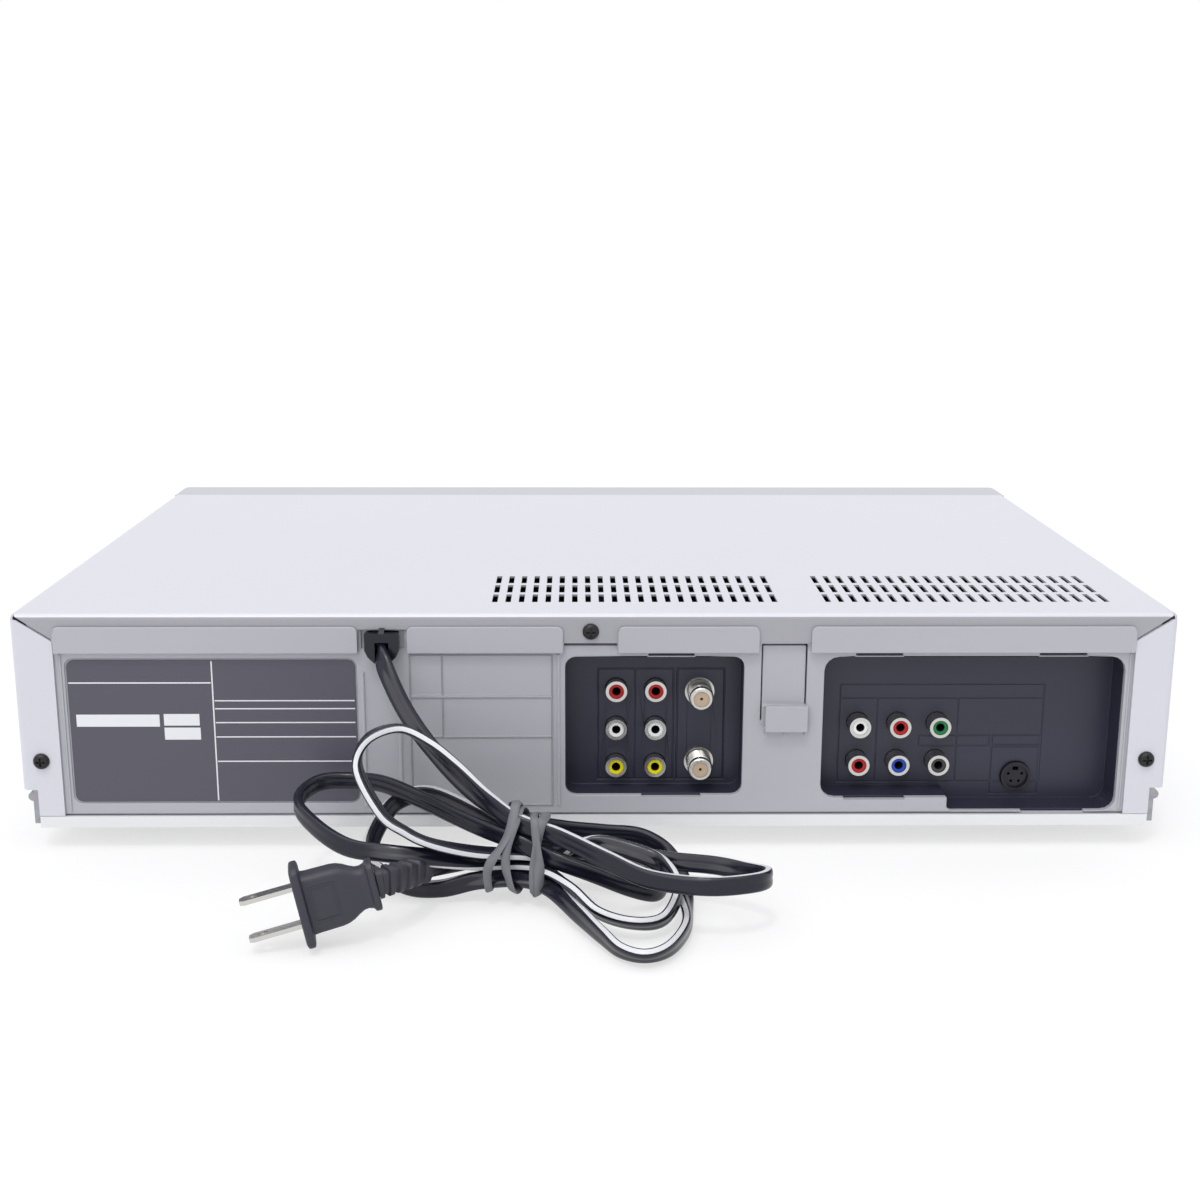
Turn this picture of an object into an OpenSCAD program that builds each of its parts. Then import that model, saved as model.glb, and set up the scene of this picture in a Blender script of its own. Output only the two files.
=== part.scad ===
/* [Case] */
// Width of the case
case_w = 430; // [426:1:434]
// Top of the cover above the table
case_top = 92; // [92:0.5:95]
// Underside of the bottom plate above the table
ground_gap = 9; // [8.6:0.1:9]
// Depth of the sheet metal cover
cover_d = 252.3; // [252:0.1:256]
// Thickness of the sheet metal
sheet_t = 0.8; // [0.6:0.1:0.8]
// Outside radius of the bends in the cover
bend_r = 2; // [1.5:0.1:2]
// Depth of the front bezel
bezel_d = 28.2; // [28:0.1:29]
// Wall of the front bezel
bezel_t = 2.4; // [2:0.1:2.4]

/* [Vents] */
// Slots in each row of a vent
vent_columns = 22; // [10:1:22]
// Rows of slots in a vent
vent_rows = 3; // [1:1:3]
// Spacing of the slots along the case
vent_pitch = 5.05; // [4.6:0.05:5.05]
// Spacing of the rows of slots
vent_row_pitch = 15.8; // [14:0.2:15.8]
// Width of a slot
slot_w = 2.1; // [1.5:0.1:2.5]
// Length of a slot
slot_l = 12.4; // [6:0.2:13]

/* [Sockets] */
// Outside radius of a phono socket
phono_r = 4.05; // [4:0.05:4.2]
// Spacing of the phono sockets
phono_pitch = 14.9; // [14.5:0.1:15.2]
// Outside radius of an aerial socket
aerial_r = 4.7; // [4.5:0.05:4.75]

/* [Disc drive] */
// Distance that the tray slides out
tray_travel = 140; // [120:1:140]
// Width of the tray
tray_w = 128; // [126:0.5:128]
// Radius of the disc recess
disc_r = 61; // [60.5:0.1:61]
// Distance that the pickup travels
sled_travel = 36; // [30:1:36]
// Teeth on the tray gear
gear_teeth = 24; // [24:1:24]

/* [Tape deck] */
// Width of the cassette slot
cassette_w = 196; // [194:0.5:196]
// Radius of the head drum
drum_r = 31; // [30:0.5:31]
// Lean of the head drum in degrees
drum_tilt = 5; // [0:0.5:5]
// Distance that the cassette carriage drops
drop_travel = 18; // [12:1:18]

/* [Cord] */
// Width of the flat cord
cord_w = 6.4; // [5.6:0.1:6.4]
// Thickness of the flat cord
cord_t = 3.2; // [2.6:0.1:3.2]

/* [Hidden] */

$fn = 48;
arc_steps = 4;
gap = 0.3;
running = 0.05;

// Main planes of the case. The flange of the cover is the rear plane.
half_w = case_w / 2;
button_proud = 1;
screw_head_h = 1.9;
rear_y = (cover_d + bezel_d + button_proud - screw_head_h) / 2;
front_y = rear_y - cover_d;
face_y = front_y - bezel_d;
lower_face_y = face_y + 2.5;
panel_y = rear_y - sheet_t - gap;
panel_t = 2.4;
panel_back_y = panel_y - panel_t;
floor_z = ground_gap + 1.2;
floor_t = 2;
wall_x = half_w - 5.1;
side_z = ground_gap + 15;

// Rear of the cover and the panel that it frames
flange_x = 200;
flange_z = case_top - 11.2;
lip_top_z = ground_gap + 4.4;
pad_top_z = case_top - 4.7;
pad_bottom_z = case_top - 14.8;
pad_proud = 1.3;
pads = [[88, 199.4], [12.4, 69.8], [-60, -7.9], [-199.6, -79.3]];
pad_slots = [[-36.2, -19.2], [-113.7, -96.3], [-182.4, -164.7]];
flange_screws = [[2.2, 85.3], [207.2, 35.4], [-207.2, 35.4]];
base_screws = [[190, -60], [-190, -60], [190, 108], [-190, 108]];

// Windows in the rear panel: low x, low z, high x, high z
vcr_window = [-54.9, 21, 11.7, 75.3];
dvd_window = [-197.1, 19.8, -84.7, 75.2];
dvd_step = [-190, 14.5, -133, 30];
dvd_corner = [-197.1, 14.5, -150, 40];
label_area = [89.4, 18.9, 195.8, 74.2];
// Slits under the windows: low x, high x and the height of the window's sill
sill_slots = [[-39.4, -17.1, vcr_window[1]], [-116.9, -93.7, dvd_window[1]], [-185.4, -161.5, dvd_step[1]]];
vcr_floor_y = rear_y - 13.7;
dvd_floor_y = rear_y - 15.4;
jack_panel_t = 1.5;

// Sockets: x and z of each
vcr_columns = [-7.6, -22.5];
vcr_rows = [59.4, 44.3, 29.4];
dvd_columns = [-100.3, -115.6, -130.8];
dvd_rows = [45.2, 30.1];
aerials = [[-39.3, 58.4], [-39.3, 30.6]];
svideo_at = [-162.4, 23.5];
front_jacks = [150, 166, 182];
front_jack_z = 20;
vcr_jack_y = rear_y - 9;
dvd_jack_y = rear_y - 8;
front_jack_y = lower_face_y - 0.6;
insert_r = 2.85;
aerial_core_r = 3;
pin_hole_r = 1.65;

// Gland, tie and plug of the cord
gland_top_z = 85.2;
gland_x = 78.9;
tie_width = 3.6;
tie_grow = 1.1;
tie_centre = [184, 17];
plug_face = [98.8, 222.9, 14.5];
plug_turn = [9.3, 11.8, 12.5];
plug_back = 26.5;
relief_steps = 10;
blade_gap = 12.7;
blade_l = 17.5;

// Disc drive
drive_x = -125;
spindle_y = -60;
tray_z = 66;
tray_h = 8;
tray_back_y = 48;
tray_front_y = face_y + 3.2;
tray_edge = 4;
tray_edge_t = 2;
tray_edge_z = tray_z + 3.5;
recess_z = tray_z + 4;
loader_half = 74;
loader_front_y = -118;
loader_back_y = 72;
loader_z = 44;
loader_t = 2;
gear_module = 1;
gear_r = gear_teeth * gear_module / 2;
gear_y = -100;
gear_x = drive_x - 41;
gear_z = 57;
gear_top = 68.1;
gear_h = 2.6;
rack_top = 68.4;
turntable_h = 12;
rack_x = gear_x - gear_r;
tooth_pitch = PI * gear_module;
tooth_w = 1.25;
tooth_up = 0.9;
tooth_down = 1.2;
flank = tan(20);
traverse_z = 52;
traverse_pivot_y = 34;
rail_x = 20;
rail_r = 1.5;
rail_z = 57;
screw_r = 1.8;
screw_x = drive_x + 30;
lens_y = spindle_y + 28;
opening_side = 14;

// Tape deck
deck_x = 95;
deck_z = 26;
deck_t = 1.6;
deck_top_z = deck_z + deck_t;
basket_half = 96.7;
basket_z = [55.5, 84.2];
basket_y = [-104, -44];
sheet_wall = 1.2;
rail_gap = 0.3;
slot_z = [54.5, 84];
door_axis = [face_y + 2.3, slot_z[1] - 1.8];
door_barrel_r = 1.3;
drum_at = [deck_x, 56, 28];
capstan_at = [160, 30];
capstan_r = 2;
reel_half = 46;
reel_y = -32;
arm_pivot = [184, 44];
arm_l = 20.2;
arm_angle = 157;
roller_r = 7;
roller_pin_r = 1.5;
deck_posts = [[4, -98], [186, -98], [4, 84], [186, 84]];
loader_posts = [[-66, -108], [66, -108], [-66, 62], [66, 62]];

// Centre and half size of each push button in the bezel
button_travel = 0.8;
power_at = [-204, 74];
power_r = 5.5;
open_at = [-30, 77];
eject_at = [-30, 62];
side_button = [13, 4.5];
deck_button = [11, 5];
deck_button_z = 44;
deck_button_x = [24, 52, 80, 108];
display_area = [-186, 38, -64, 58];
board_y = face_y + 12.7;
board_t = 1.6;

// Route of the cord in the frame of the case: x, y, z, and the lean of its white
// edge in degrees, from straight up towards the rear, then any turn towards +X.
route = [
    [79, 134, 78, 180], [79, 143, 78, 180, 10], [76, 150, 72, 170, 50], [69, 157, 60, 165, 55],
    [59, 164, 48, 160, 50], [44, 173, 35, 160, 25], [28, 179, 27, 175], [13, 175, 22, 180],
    [-2, 174, 20, 180], [-15, 175, 19, 180, 10], [-24, 179, 15, 180, 45], [-29, 188, 9, 0, 85],
    [-30, 203, 5, 0, 30], [-29, 218, 4, 5], [-23, 233, 4, 30], [-15, 239, 4, 40],
    [-7, 235, 4, 35], [-1, 226, 5, 15], [7, 211, 6, -20], [17, 194, 8, -50],
    [28, 189, 9, -65], [42, 188, 8, -25], [55, 188, 5, 5], [67, 184, 4, 10],
    [77, 179, 8, 10, 20], [81, 174, 14, 0, 40], [79, 162, 19, 0, 40], [73, 152, 24, 0, 30],
    [60, 151, 26, 0, 15], [40, 168, 23, 0], [28, 178, 19, -20], [12, 179, 16, -30],
    [-6, 182, 16, -30], [-23, 187, 15, -30], [-40, 194, 16, -30], [-50, 199, 16, -20],
    [-57, 208, 18, -5], [-52, 218, 20, -10], [-36, 221, 20, -10], [-17, 215, 20, -10],
    [-3, 206, 23, -8], [13, 193, 26, 0], [28, 186, 29, 0], [39, 182, 36, 5],
    [49, 177, 45, 25], [59, 173, 53, 50], [70, 170, 58, 75], [81, 173, 55, 90],
    [84, 178, 46, 92], [75, 188, 33, 85], [66, 193, 28, 78], [57, 196, 25, 80],
    [43, 191, 20, 88], [28, 186, 17, 90], [14, 185, 17, 80], [0, 187, 21, -20],
    [-13, 190, 19, -30], [-22, 194, 16, -20], [-27, 205, 12, 5], [-22, 215, 6, 35],
    [-12, 219, 6, 45], [0, 213, 7, 50], [9, 202, 11, 60], [19, 190, 13, 80],
    [28, 185, 13, 92], [42, 186, 14, 112], [57, 194, 19, 138], [72, 195, 21, 148],
    [87, 189, 21, 155], [100, 177, 24, 170], [108, 164, 28, 180], [102, 152, 31, 180],
    [88, 150, 31, 180], [74, 157, 31, 180], [44, 178, 25, 180], [28, 187, 22, 180],
    [15, 191, 17, 180], [2, 196, 14, 180], [-11, 199, 10, 180], [-20, 194, 6, 180],
    [-23, 184, 6, 180], [-17, 174, 8, 180], [-4, 171, 8, 180], [11, 174, 9, 180],
    [28, 178, 11, 180], [41, 178, 12, 180], [50, 182, 12, 180], [59, 189, 13, 180]];

// Points along an arc in a plane
function arc(c, r, a0, a1, n = arc_steps) =
    [for (i = [0:n]) [c[0] + r * cos(a0 + (a1 - a0) * i / n), c[1] + r * sin(a0 + (a1 - a0) * i / n)]];

// Outline of a rectangle with round corners
function round_rect(b, r) = concat(
    arc([b[2] - r, b[3] - r], r, 0, 90), arc([b[0] + r, b[3] - r], r, 90, 180),
    arc([b[0] + r, b[1] + r], r, 180, 270), arc([b[2] - r, b[1] + r], r, 270, 360));

// A rectangle that is larger all round by a margin
function grown(b, m) = [b[0] - m, b[1] - m, b[2] + m, b[3] + m];

// Block between two corners
module block(a, b) {
    translate(a) cube(b - a);
}

// Outline in X and Z, made solid from y0 to y1
module upright(y0, y1) {
    translate([0, y1, 0]) rotate([90, 0, 0]) linear_extrude(y1 - y0) children();
}

// Outline in Y and Z, made solid from x0 to x1
module sideways(x0, x1) {
    translate([x0, 0, 0]) rotate([90, 0, 90]) linear_extrude(x1 - x0) children();
}

// Round bar or hole along Y from y0 to y1
module bar_y(x, z, r, y0, y1) {
    translate([x, y0, z]) rotate([-90, 0, 0]) cylinder(r = r, h = y1 - y0);
}

// Round bar or hole along Z
module bar_z(p, r, z0, z1) {
    translate([p[0], p[1], z0]) cylinder(r = r, h = z1 - z0);
}

// Sheet metal section of the cover: top, bends and sides
module cover_section() {
    inner_r = bend_r - sheet_t;
    top = case_top - bend_r;
    polygon(concat(
        [[half_w, side_z]], arc([half_w - bend_r, top], bend_r, 0, 90),
        arc([bend_r - half_w, top], bend_r, 90, 180), [[-half_w, side_z]],
        [[sheet_t - half_w, side_z]], arc([bend_r - half_w, top], inner_r, 180, 90),
        arc([half_w - bend_r, top], inner_r, 90, 0), [[half_w - sheet_t, side_z]]));
}

// Strip bent down along the rear edge of the cover, mitred at both ends
module top_flange() {
    inner_r = bend_r - sheet_t;
    c = [rear_y - bend_r, case_top - bend_r];
    end_x = half_w - bend_r;
    intersection() {
        sideways(-end_x, end_x) polygon(concat(
            arc(c, bend_r, 90, 0), [[rear_y, flange_z]],
            [[rear_y - sheet_t, flange_z]], arc(c, inner_r, 0, 90)));
        upright(rear_y - 4, rear_y + 1) polygon([
            [-end_x, case_top + 1], [-end_x, case_top - 0.9], [-flange_x - 0.3, flange_z + 1.8],
            [-flange_x + 0.4, flange_z - 1], [flange_x - 0.4, flange_z - 1],
            [flange_x + 0.3, flange_z + 1.8], [end_x, case_top - 0.9], [end_x, case_top + 1]]);
    }
}

// Strip bent in along the rear edge of one side, with the notch at its foot
module side_flange() {
    inner_r = bend_r - sheet_t;
    c = [half_w - bend_r, rear_y - bend_r];
    intersection() {
        linear_extrude(case_top) polygon(concat(
            arc(c, bend_r, 0, 90), [[flange_x, rear_y]],
            [[flange_x, rear_y - sheet_t]], arc(c, inner_r, 90, 0)));
        upright(rear_y - 4, rear_y + 1) polygon([
            [flange_x - 1, lip_top_z + 0.2], [half_w - 5.5, lip_top_z + 0.2], [half_w - 5.5, side_z],
            [half_w + 1, side_z], [half_w + 1, case_top - 2.4], [half_w - 2.4, case_top - 2.4],
            [flange_x, flange_z + 0.9], [flange_x - 1, flange_z + 0.9]]);
    }
}

// One group of vent slots, from its first slot towards -X
module vent(x, y) {
    for (i = [0:vent_columns - 1]) for (j = [0:vent_rows - 1])
        translate([x - i * vent_pitch - slot_w / 2, y - j * vent_row_pitch - slot_l / 2, case_top - 3])
            cube([slot_w, slot_l, 6]);
}

module top_cover() color([0.87, 0.87, 0.91]) {
    difference() {
        union() {
            upright(front_y, rear_y - bend_r) cover_section();
            top_flange();
            side_flange();
            mirror([1, 0, 0]) side_flange();
        }
        vent(38.4, rear_y - 24.5);
        vent(-88, rear_y - 24.5);
        for (s = flange_screws) bar_y(s[0], s[1], 1.7, rear_y - 3, rear_y + 1);
        block([69.9, rear_y - 1.5, flange_z - 1], [87.9, rear_y + 1, case_top - 5.9]);
    }
}

// Outline of a pad with two rounded top corners
module pad_outline(x0, x1) {
    r = 2.2;
    polygon(concat([[x0, pad_bottom_z], [x1, pad_bottom_z]],
        arc([x1 - r, pad_top_z - r], r, 0, 90), arc([x0 + r, pad_top_z - r], r, 90, 180)));
}

// Pad that hooks over the lower edge of the top flange
module pad(x0, x1) {
    upright(rear_y + 0.15, rear_y + pad_proud) pad_outline(x0, x1);
    block([x0, panel_y - 0.5, pad_bottom_z], [x1, rear_y + 0.5, flange_z - gap]);
}

// Thin raised line on the rear panel
module raised(x0, z0, x1, z1, h) {
    block([x0, panel_y - 0.5, z0], [x1, panel_y + h, z1]);
}

// Raised frame of a cell of the plain embossed field
module cell(x0, z0, x1, z1) {
    w = 0.5;
    h = 0.3;
    raised(x0, z0, x1, z0 + w, h);
    raised(x0, z1 - w, x1, z1, h);
    raised(x0, z0 + w, x0 + w, z1 - w, h);
    raised(x1 - w, z0 + w, x1, z1 - w, h);
}

// Spring tongue with a finger tab, between two slits
module tongue_slits() {
    block([-61.7, panel_back_y - 1, 50.6], [-61.2, panel_y + 1, 80]);
    block([-78.2, panel_back_y - 1, 56.6], [-77.7, panel_y + 1, 80]);
    block([-78.2, panel_back_y - 1, 79.4], [-61.2, panel_y + 1, 80.2]);
    block([-77.7, panel_y - 0.7, 56.6], [-61.7, panel_y + 1, 79.4]);
}

module tongue_tab() {
    block([-78.7, panel_y - 1, 46.8], [-62.8, panel_y + 3.2, 48]);
    block([-78.7, panel_y + 2, 46.8], [-62.8, panel_y + 3.2, 56.8]);
    block([-78.7, panel_y - 1, 55.8], [-62.8, panel_y + 3.2, 56.8]);
    for (x = [-78.7, -71.2, -63.8]) sideways(x, x + 0.9)
        polygon([[panel_y - 0.5, 44.6], [panel_y, 44.6], [panel_y + 2.4, 46.9], [panel_y - 0.5, 46.9]]);
}

module dvd_window_outline(m) {
    polygon(round_rect(grown(dvd_window, m), 5.5 + m));
    polygon(round_rect(grown(dvd_step, m), 2 + m));
    polygon(round_rect(grown(dvd_corner, m), 5 + m));
}

module rear_panel() color([0.69, 0.69, 0.72]) {
    difference() {
        union() {
            block([0.6 - wall_x, panel_back_y, lip_top_z - 3.2], [wall_x - 0.6, panel_y, case_top - 1.6]);
            for (p = pads) pad(p[0], p[1]);
            raised(86.1, 17, 87.1, 69.6, 0.8);
            raised(72.7, 17, 73.7, 66, 0.8);
            raised(13.6, 17, 14.6, 76.4, 0.8);
            cell(57, 44, 69.4, 60);
            cell(57, 60, 69.4, 76.4);
            cell(16.3, 44, 57.5, 60);
            cell(16.3, 60, 57.5, 76.4);
            cell(16.3, 17, 69.4, 44.5);
            raised(-199, 15, -198.2, 76.6, 0.6);
            raised(197.4, 15, 198.2, 76.6, 0.6);
            tongue_tab();
            for (s = flange_screws) bar_y(s[0], s[1], 2.6, panel_back_y - 5, panel_back_y + 0.5);
        }
        upright(panel_back_y - 1, panel_y + 1) polygon(round_rect(vcr_window, 4));
        upright(panel_back_y - 1, panel_y + 1) dvd_window_outline(0);
        upright(panel_y - 0.6, panel_y + 1) polygon(round_rect(grown(label_area, 0.7), 3.4));
        tongue_slits();
        block([70.9, panel_y - 1.2, 78.6], [86.9, panel_y + 1, case_top]);
        upright(panel_back_y - 1, panel_y + 1) polygon(gland_outline(-0.3));
        for (s = pad_slots)
            block([s[0], panel_back_y - 1, pad_bottom_z - 1.6], [s[1], panel_y + 1, pad_bottom_z - 0.1]);
        for (s = sill_slots)
            block([s[0], panel_back_y - 1, s[2] - 0.8], [s[1], panel_y + 1, s[2] + 1]);
        block([pads[2][1] + 0.2, panel_back_y - 1, flange_z - 1.2], [pads[1][0] - 0.2, panel_y + 1, flange_z]);
        block([0.6 - wall_x - 1, panel_y - 1.2, lip_top_z], [wall_x + 0.4, panel_y + 1, lip_top_z + 0.5]);
        for (s = flange_screws) bar_y(s[0], s[1], 1.32, panel_back_y - 6, panel_y + 1);
    }
}

module chassis_frame() color([0.62, 0.62, 0.65]) {
    bead_z = ground_gap + 11.9;
    back = rear_y - 1.4;
    difference() {
        union() {
            block([-wall_x, front_y + 2, floor_z], [wall_x, panel_back_y - 1, floor_z + floor_t]);
            for (s = [-1, 1]) {
                x0 = s > 0 ? wall_x : -wall_x - 2;
                block([x0, front_y + 2, floor_z], [x0 + 2, back, 70]);
                bar_y(s * (wall_x + 2), bead_z, 1.8, front_y + 2, back);
            }
            for (p = deck_posts) bar_z(p, 4, floor_z + 1, deck_z);
            for (p = loader_posts) bar_z([drive_x + p[0], p[1]], 4, floor_z + 1, loader_z);
            for (p = base_screws) bar_z(p, 4, floor_z + 1, floor_z + 7);
            block([-wall_x + 1, front_y + 2, floor_z + 1], [wall_x - 1, front_y + 4, 24]);
        }
        for (p = base_screws) bar_z(p, 1.32, floor_z - 1, floor_z + 8);
        for (y = [-80:30:70]) block([-180, y, floor_z - 1], [-80, y + 6, floor_z + 4]);
    }
}

module bottom_plate() color([0.80, 0.80, 0.83]) {
    difference() {
        union() {
            block([-half_w + 5.6, front_y + 4, ground_gap], [half_w - 5.6, rear_y, ground_gap + sheet_t]);
            block([-half_w + 5.6, rear_y - sheet_t, ground_gap], [half_w - 5.6, rear_y, lip_top_z]);
        }
        for (p = base_screws) bar_z(p, 1.7, ground_gap - 1, ground_gap + 2);
        for (i = [0:15]) for (y = [20, 44])
            block([40 + i * 8, y, ground_gap - 1], [43 + i * 8, y + 16, ground_gap + 2]);
    }
}

// Profile of the bezel in Y and Z, taken in by a wall
module bezel_profile(m) {
    polygon([[front_y - gap, 5.2 + m], [face_y + 6 + m / 2, 5.2 + m], [lower_face_y + m, 8.8 + m / 2],
        [lower_face_y + m, 31.6 + m / 2], [face_y + m, 34.4 + m / 2], [face_y + m, case_top - 2.8 - m / 2],
        [face_y + 2.4 + m / 2, case_top - 0.4 - m], [front_y - gap, case_top - 0.4 - m]]);
}

// Plan of the bezel with round front corners, taken in by a wall
module bezel_plan(m) {
    r = 6;
    linear_extrude(case_top + 4) polygon(concat(
        [[half_w - m, front_y]], [[m - half_w, front_y]],
        arc([r - half_w, face_y + r], r - m, 180, 270),
        arc([half_w - r, face_y + r], r - m, 270, 360)));
}

module bezel_openings() {
    y0 = face_y - 2;
    y1 = face_y + 8;
    c = gap;
    block([drive_x - 68.6, y0, tray_z - 0.6], [drive_x + 68.6, y1, tray_z + 16.6]);
    block([deck_x - cassette_w / 2, y0, slot_z[0]], [deck_x + cassette_w / 2, y1 + 4, slot_z[1]]);
    upright(y0, y1) polygon(round_rect(grown(display_area, 0.15), 1.5));
    bar_y(power_at[0], power_at[1], power_r + c, y0, y1);
    for (p = [open_at, eject_at]) upright(y0, y1) button_outline(p, side_button, c);
    for (x = deck_button_x) upright(y0, y1) button_outline([x, deck_button_z], deck_button, c);
    for (x = front_jacks) bar_y(x, front_jack_z, phono_r + 0.1, y0, y1);
}

module front_bezel() color([0.80, 0.80, 0.84]) {
    frame_y = face_y + 10;
    half = cassette_w / 2;
    difference() {
        union() {
            difference() {
                intersection() {
                    sideways(-half_w, half_w) bezel_profile(0);
                    bezel_plan(0);
                }
                intersection() {
                    sideways(-half_w, half_w) bezel_profile(bezel_t);
                    bezel_plan(bezel_t);
                }
            }
            for (s = [-1, 1]) {
                x0 = deck_x + s * (half + 1) - 1;
                block([x0, face_y + 1, slot_z[0] - 1], [x0 + 2, frame_y, slot_z[1] + 2]);
            }
            block([deck_x - half - 2, face_y + 1, slot_z[0] - 2], [deck_x + half + 2, frame_y, slot_z[0]]);
        }
        bezel_openings();
        for (s = [-1, 1]) translate([deck_x + s * (half - 2), door_axis[0], door_axis[1]])
            rotate([0, s * 90, 0]) cylinder(r = 1 + running, h = 5);
    }
}

// Black box behind a window, open to the rear
module jack_box(floor_y) {
    back = floor_y - jack_panel_t;
    difference() {
        upright(back, panel_back_y - 0.1) children(0);
        upright(floor_y, panel_back_y + 1) children(1);
        children([2:$children - 1]);
    }
}

// Fine engraved rectangle on a jack panel
module engraved(floor_y, x0, z0, x1, z1) {
    w = 0.5;
    y0 = floor_y - 0.3;
    y1 = floor_y + 0.3;
    block([x0, y0, z0], [x1, y1, z0 + w]);
    block([x0, y0, z1 - w], [x1, y1, z1]);
    block([x0, y0, z0 + w], [x0 + w, y1, z1 - w]);
    block([x1 - w, y0, z0 + w], [x1, y1, z1 - w]);
}

module vcr_jack_panel() color([0.17, 0.17, 0.22]) {
    f = vcr_floor_y;
    jack_box(f) {
        polygon(round_rect(grown(vcr_window, 1.5), 5.5));
        polygon(round_rect(vcr_window, 4));
        for (x = vcr_columns) for (z = vcr_rows) bar_y(x, z, phono_r + 0.1, f - 5, f + 5);
        for (p = aerials) bar_y(p[0], p[1], aerial_r + 0.1, f - 5, f + 5);
        engraved(f, -29.6, 22.8, -0.4, 67.4);
        block([-15, f - 0.3, 23.3], [-14.5, f + 0.3, 66.9]);
        engraved(f, -49, 22.8, -30.6, 67.4);
    }
}

module dvd_jack_panel() color([0.17, 0.17, 0.22]) {
    f = dvd_floor_y;
    jack_box(f) {
        dvd_window_outline(1.5);
        dvd_window_outline(0);
        for (x = dvd_columns) for (z = dvd_rows) bar_y(x, z, phono_r + 0.1, f - 5, f + 5);
        bar_y(svideo_at[0], svideo_at[1], 5.9, f - 5, f + 5);
        engraved(f, -171.8, 20.9, -93, 60.6);
        block([-171.3, f - 0.3, 54.6], [-93.5, f + 0.3, 55.1]);
        for (x = [-107.8, -138.8]) block([x - 0.25, f - 0.3, 21.4], [x + 0.25, f + 0.3, 54.6]);
        engraved(f, -151.6, 35.4, -124, 40);
        engraved(f, -171.3, 16, -152.4, 35.4);
        engraved(f, -171.3, 35.9, -152.4, 40);
    }
}

// Metal barrel of a phono socket, facing +Y
module phono_shell(x, z, y_end) {
    difference() {
        bar_y(x, z, phono_r, y_end - 12, y_end);
        bar_y(x, z, insert_r + 0.05, y_end - 13, y_end + 1);
    }
}

// Plastic core of a phono socket, with its centre contact hole
module phono_core(x, z, y_end) {
    difference() {
        bar_y(x, z, insert_r, y_end - 14, y_end - 0.6);
        bar_y(x, z, pin_hole_r, y_end - 11, y_end + 1);
    }
}

// The same pieces turned to face the front
module front_shell(x) {
    translate([2 * x, 0, 0]) rotate([0, 0, 180]) phono_shell(x, front_jack_z, -front_jack_y);
}

module front_core(x) {
    translate([2 * x, 0, 0]) rotate([0, 0, 180]) phono_core(x, front_jack_z, -front_jack_y);
}

module jack_shells() color([0.82, 0.82, 0.82]) {
    for (x = vcr_columns) for (z = vcr_rows) phono_shell(x, z, vcr_jack_y);
    for (x = dvd_columns) for (z = dvd_rows) phono_shell(x, z, dvd_jack_y);
    for (x = front_jacks) front_shell(x);
}

module red_inserts() color([0.85, 0.12, 0.12]) {
    for (x = vcr_columns) phono_core(x, vcr_rows[0], vcr_jack_y);
    phono_core(dvd_columns[1], dvd_rows[0], dvd_jack_y);
    phono_core(dvd_columns[0], dvd_rows[1], dvd_jack_y);
    front_core(front_jacks[2]);
}

module white_inserts() color([0.93, 0.93, 0.93]) {
    for (x = vcr_columns) phono_core(x, vcr_rows[1], vcr_jack_y);
    phono_core(dvd_columns[0], dvd_rows[0], dvd_jack_y);
    front_core(front_jacks[1]);
}

module yellow_inserts() color([0.95, 0.88, 0.1]) {
    for (x = vcr_columns) phono_core(x, vcr_rows[2], vcr_jack_y);
    front_core(front_jacks[0]);
}

module component_inserts() color([0.1, 0.5, 0.3]) {
    phono_core(dvd_columns[2], dvd_rows[0], dvd_jack_y);
    phono_core(dvd_columns[1], dvd_rows[1], dvd_jack_y);
    phono_core(dvd_columns[2], dvd_rows[1], dvd_jack_y);
}

// Barrel of an aerial socket with thread ridges, along +Z from its flange
module aerial_barrel() {
    len = 14.4;
    pitch = 1.2;
    turns = 7;
    collar_r = 5.6;
    root = aerial_r - 0.35;
    rotate_extrude() polygon(concat(
        [[aerial_core_r + 0.05, 0], [aerial_r, 0], [aerial_r, 2.6], [root, 2.9], [root, 3.05]],
        [[collar_r, 3.05], [collar_r, 4.1], [root, 4.1]],
        [for (i = [1:turns - 1]) for (k = [[root, 0.1], [aerial_r, 0.5], [aerial_r, 0.8], [root, 1.15]])
            [k[0], 3.2 + i * pitch + k[1]]],
        [[root, len - 0.4], [root - 0.4, len], [aerial_core_r + 0.05, len]]));
}

module antenna_terminals() color([0.8, 0.8, 0.78]) {
    for (p = aerials) translate([p[0], rear_y - 16.7, p[1]]) rotate([-90, 0, 0]) aerial_barrel();
}

module antenna_insulators() color([0.72, 0.6, 0.48]) {
    for (p = aerials) difference() {
        bar_y(p[0], p[1], aerial_core_r, rear_y - 16.5, rear_y - 2.7);
        bar_y(p[0], p[1], 0.6, rear_y - 12, rear_y);
    }
}

module svideo_socket() color([0.25, 0.25, 0.28]) {
    x = svideo_at[0];
    z = svideo_at[1];
    f = dvd_floor_y;
    difference() {
        bar_y(x, z, 5.8, f - 10, f + 1.5);
        bar_y(x, z, 4.7, f + 0.1, f + 4);
        for (s = [-1, 1]) bar_y(x + s * 2.6, z + 0.8, 0.55, f - 4, f + 2);
        for (s = [-1, 1]) bar_y(x + s * 1.5, z - 2.2, 0.55, f - 4, f + 2);
        block([x - 1.1, f - 4, z + 2.2], [x + 1.1, f + 2, z + 3.6]);
    }
}

module rating_plate() color([0.33, 0.32, 0.38]) {
    upright(panel_y - 0.5, panel_y - 0.05) polygon(round_rect(label_area, 2.8));
}

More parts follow.
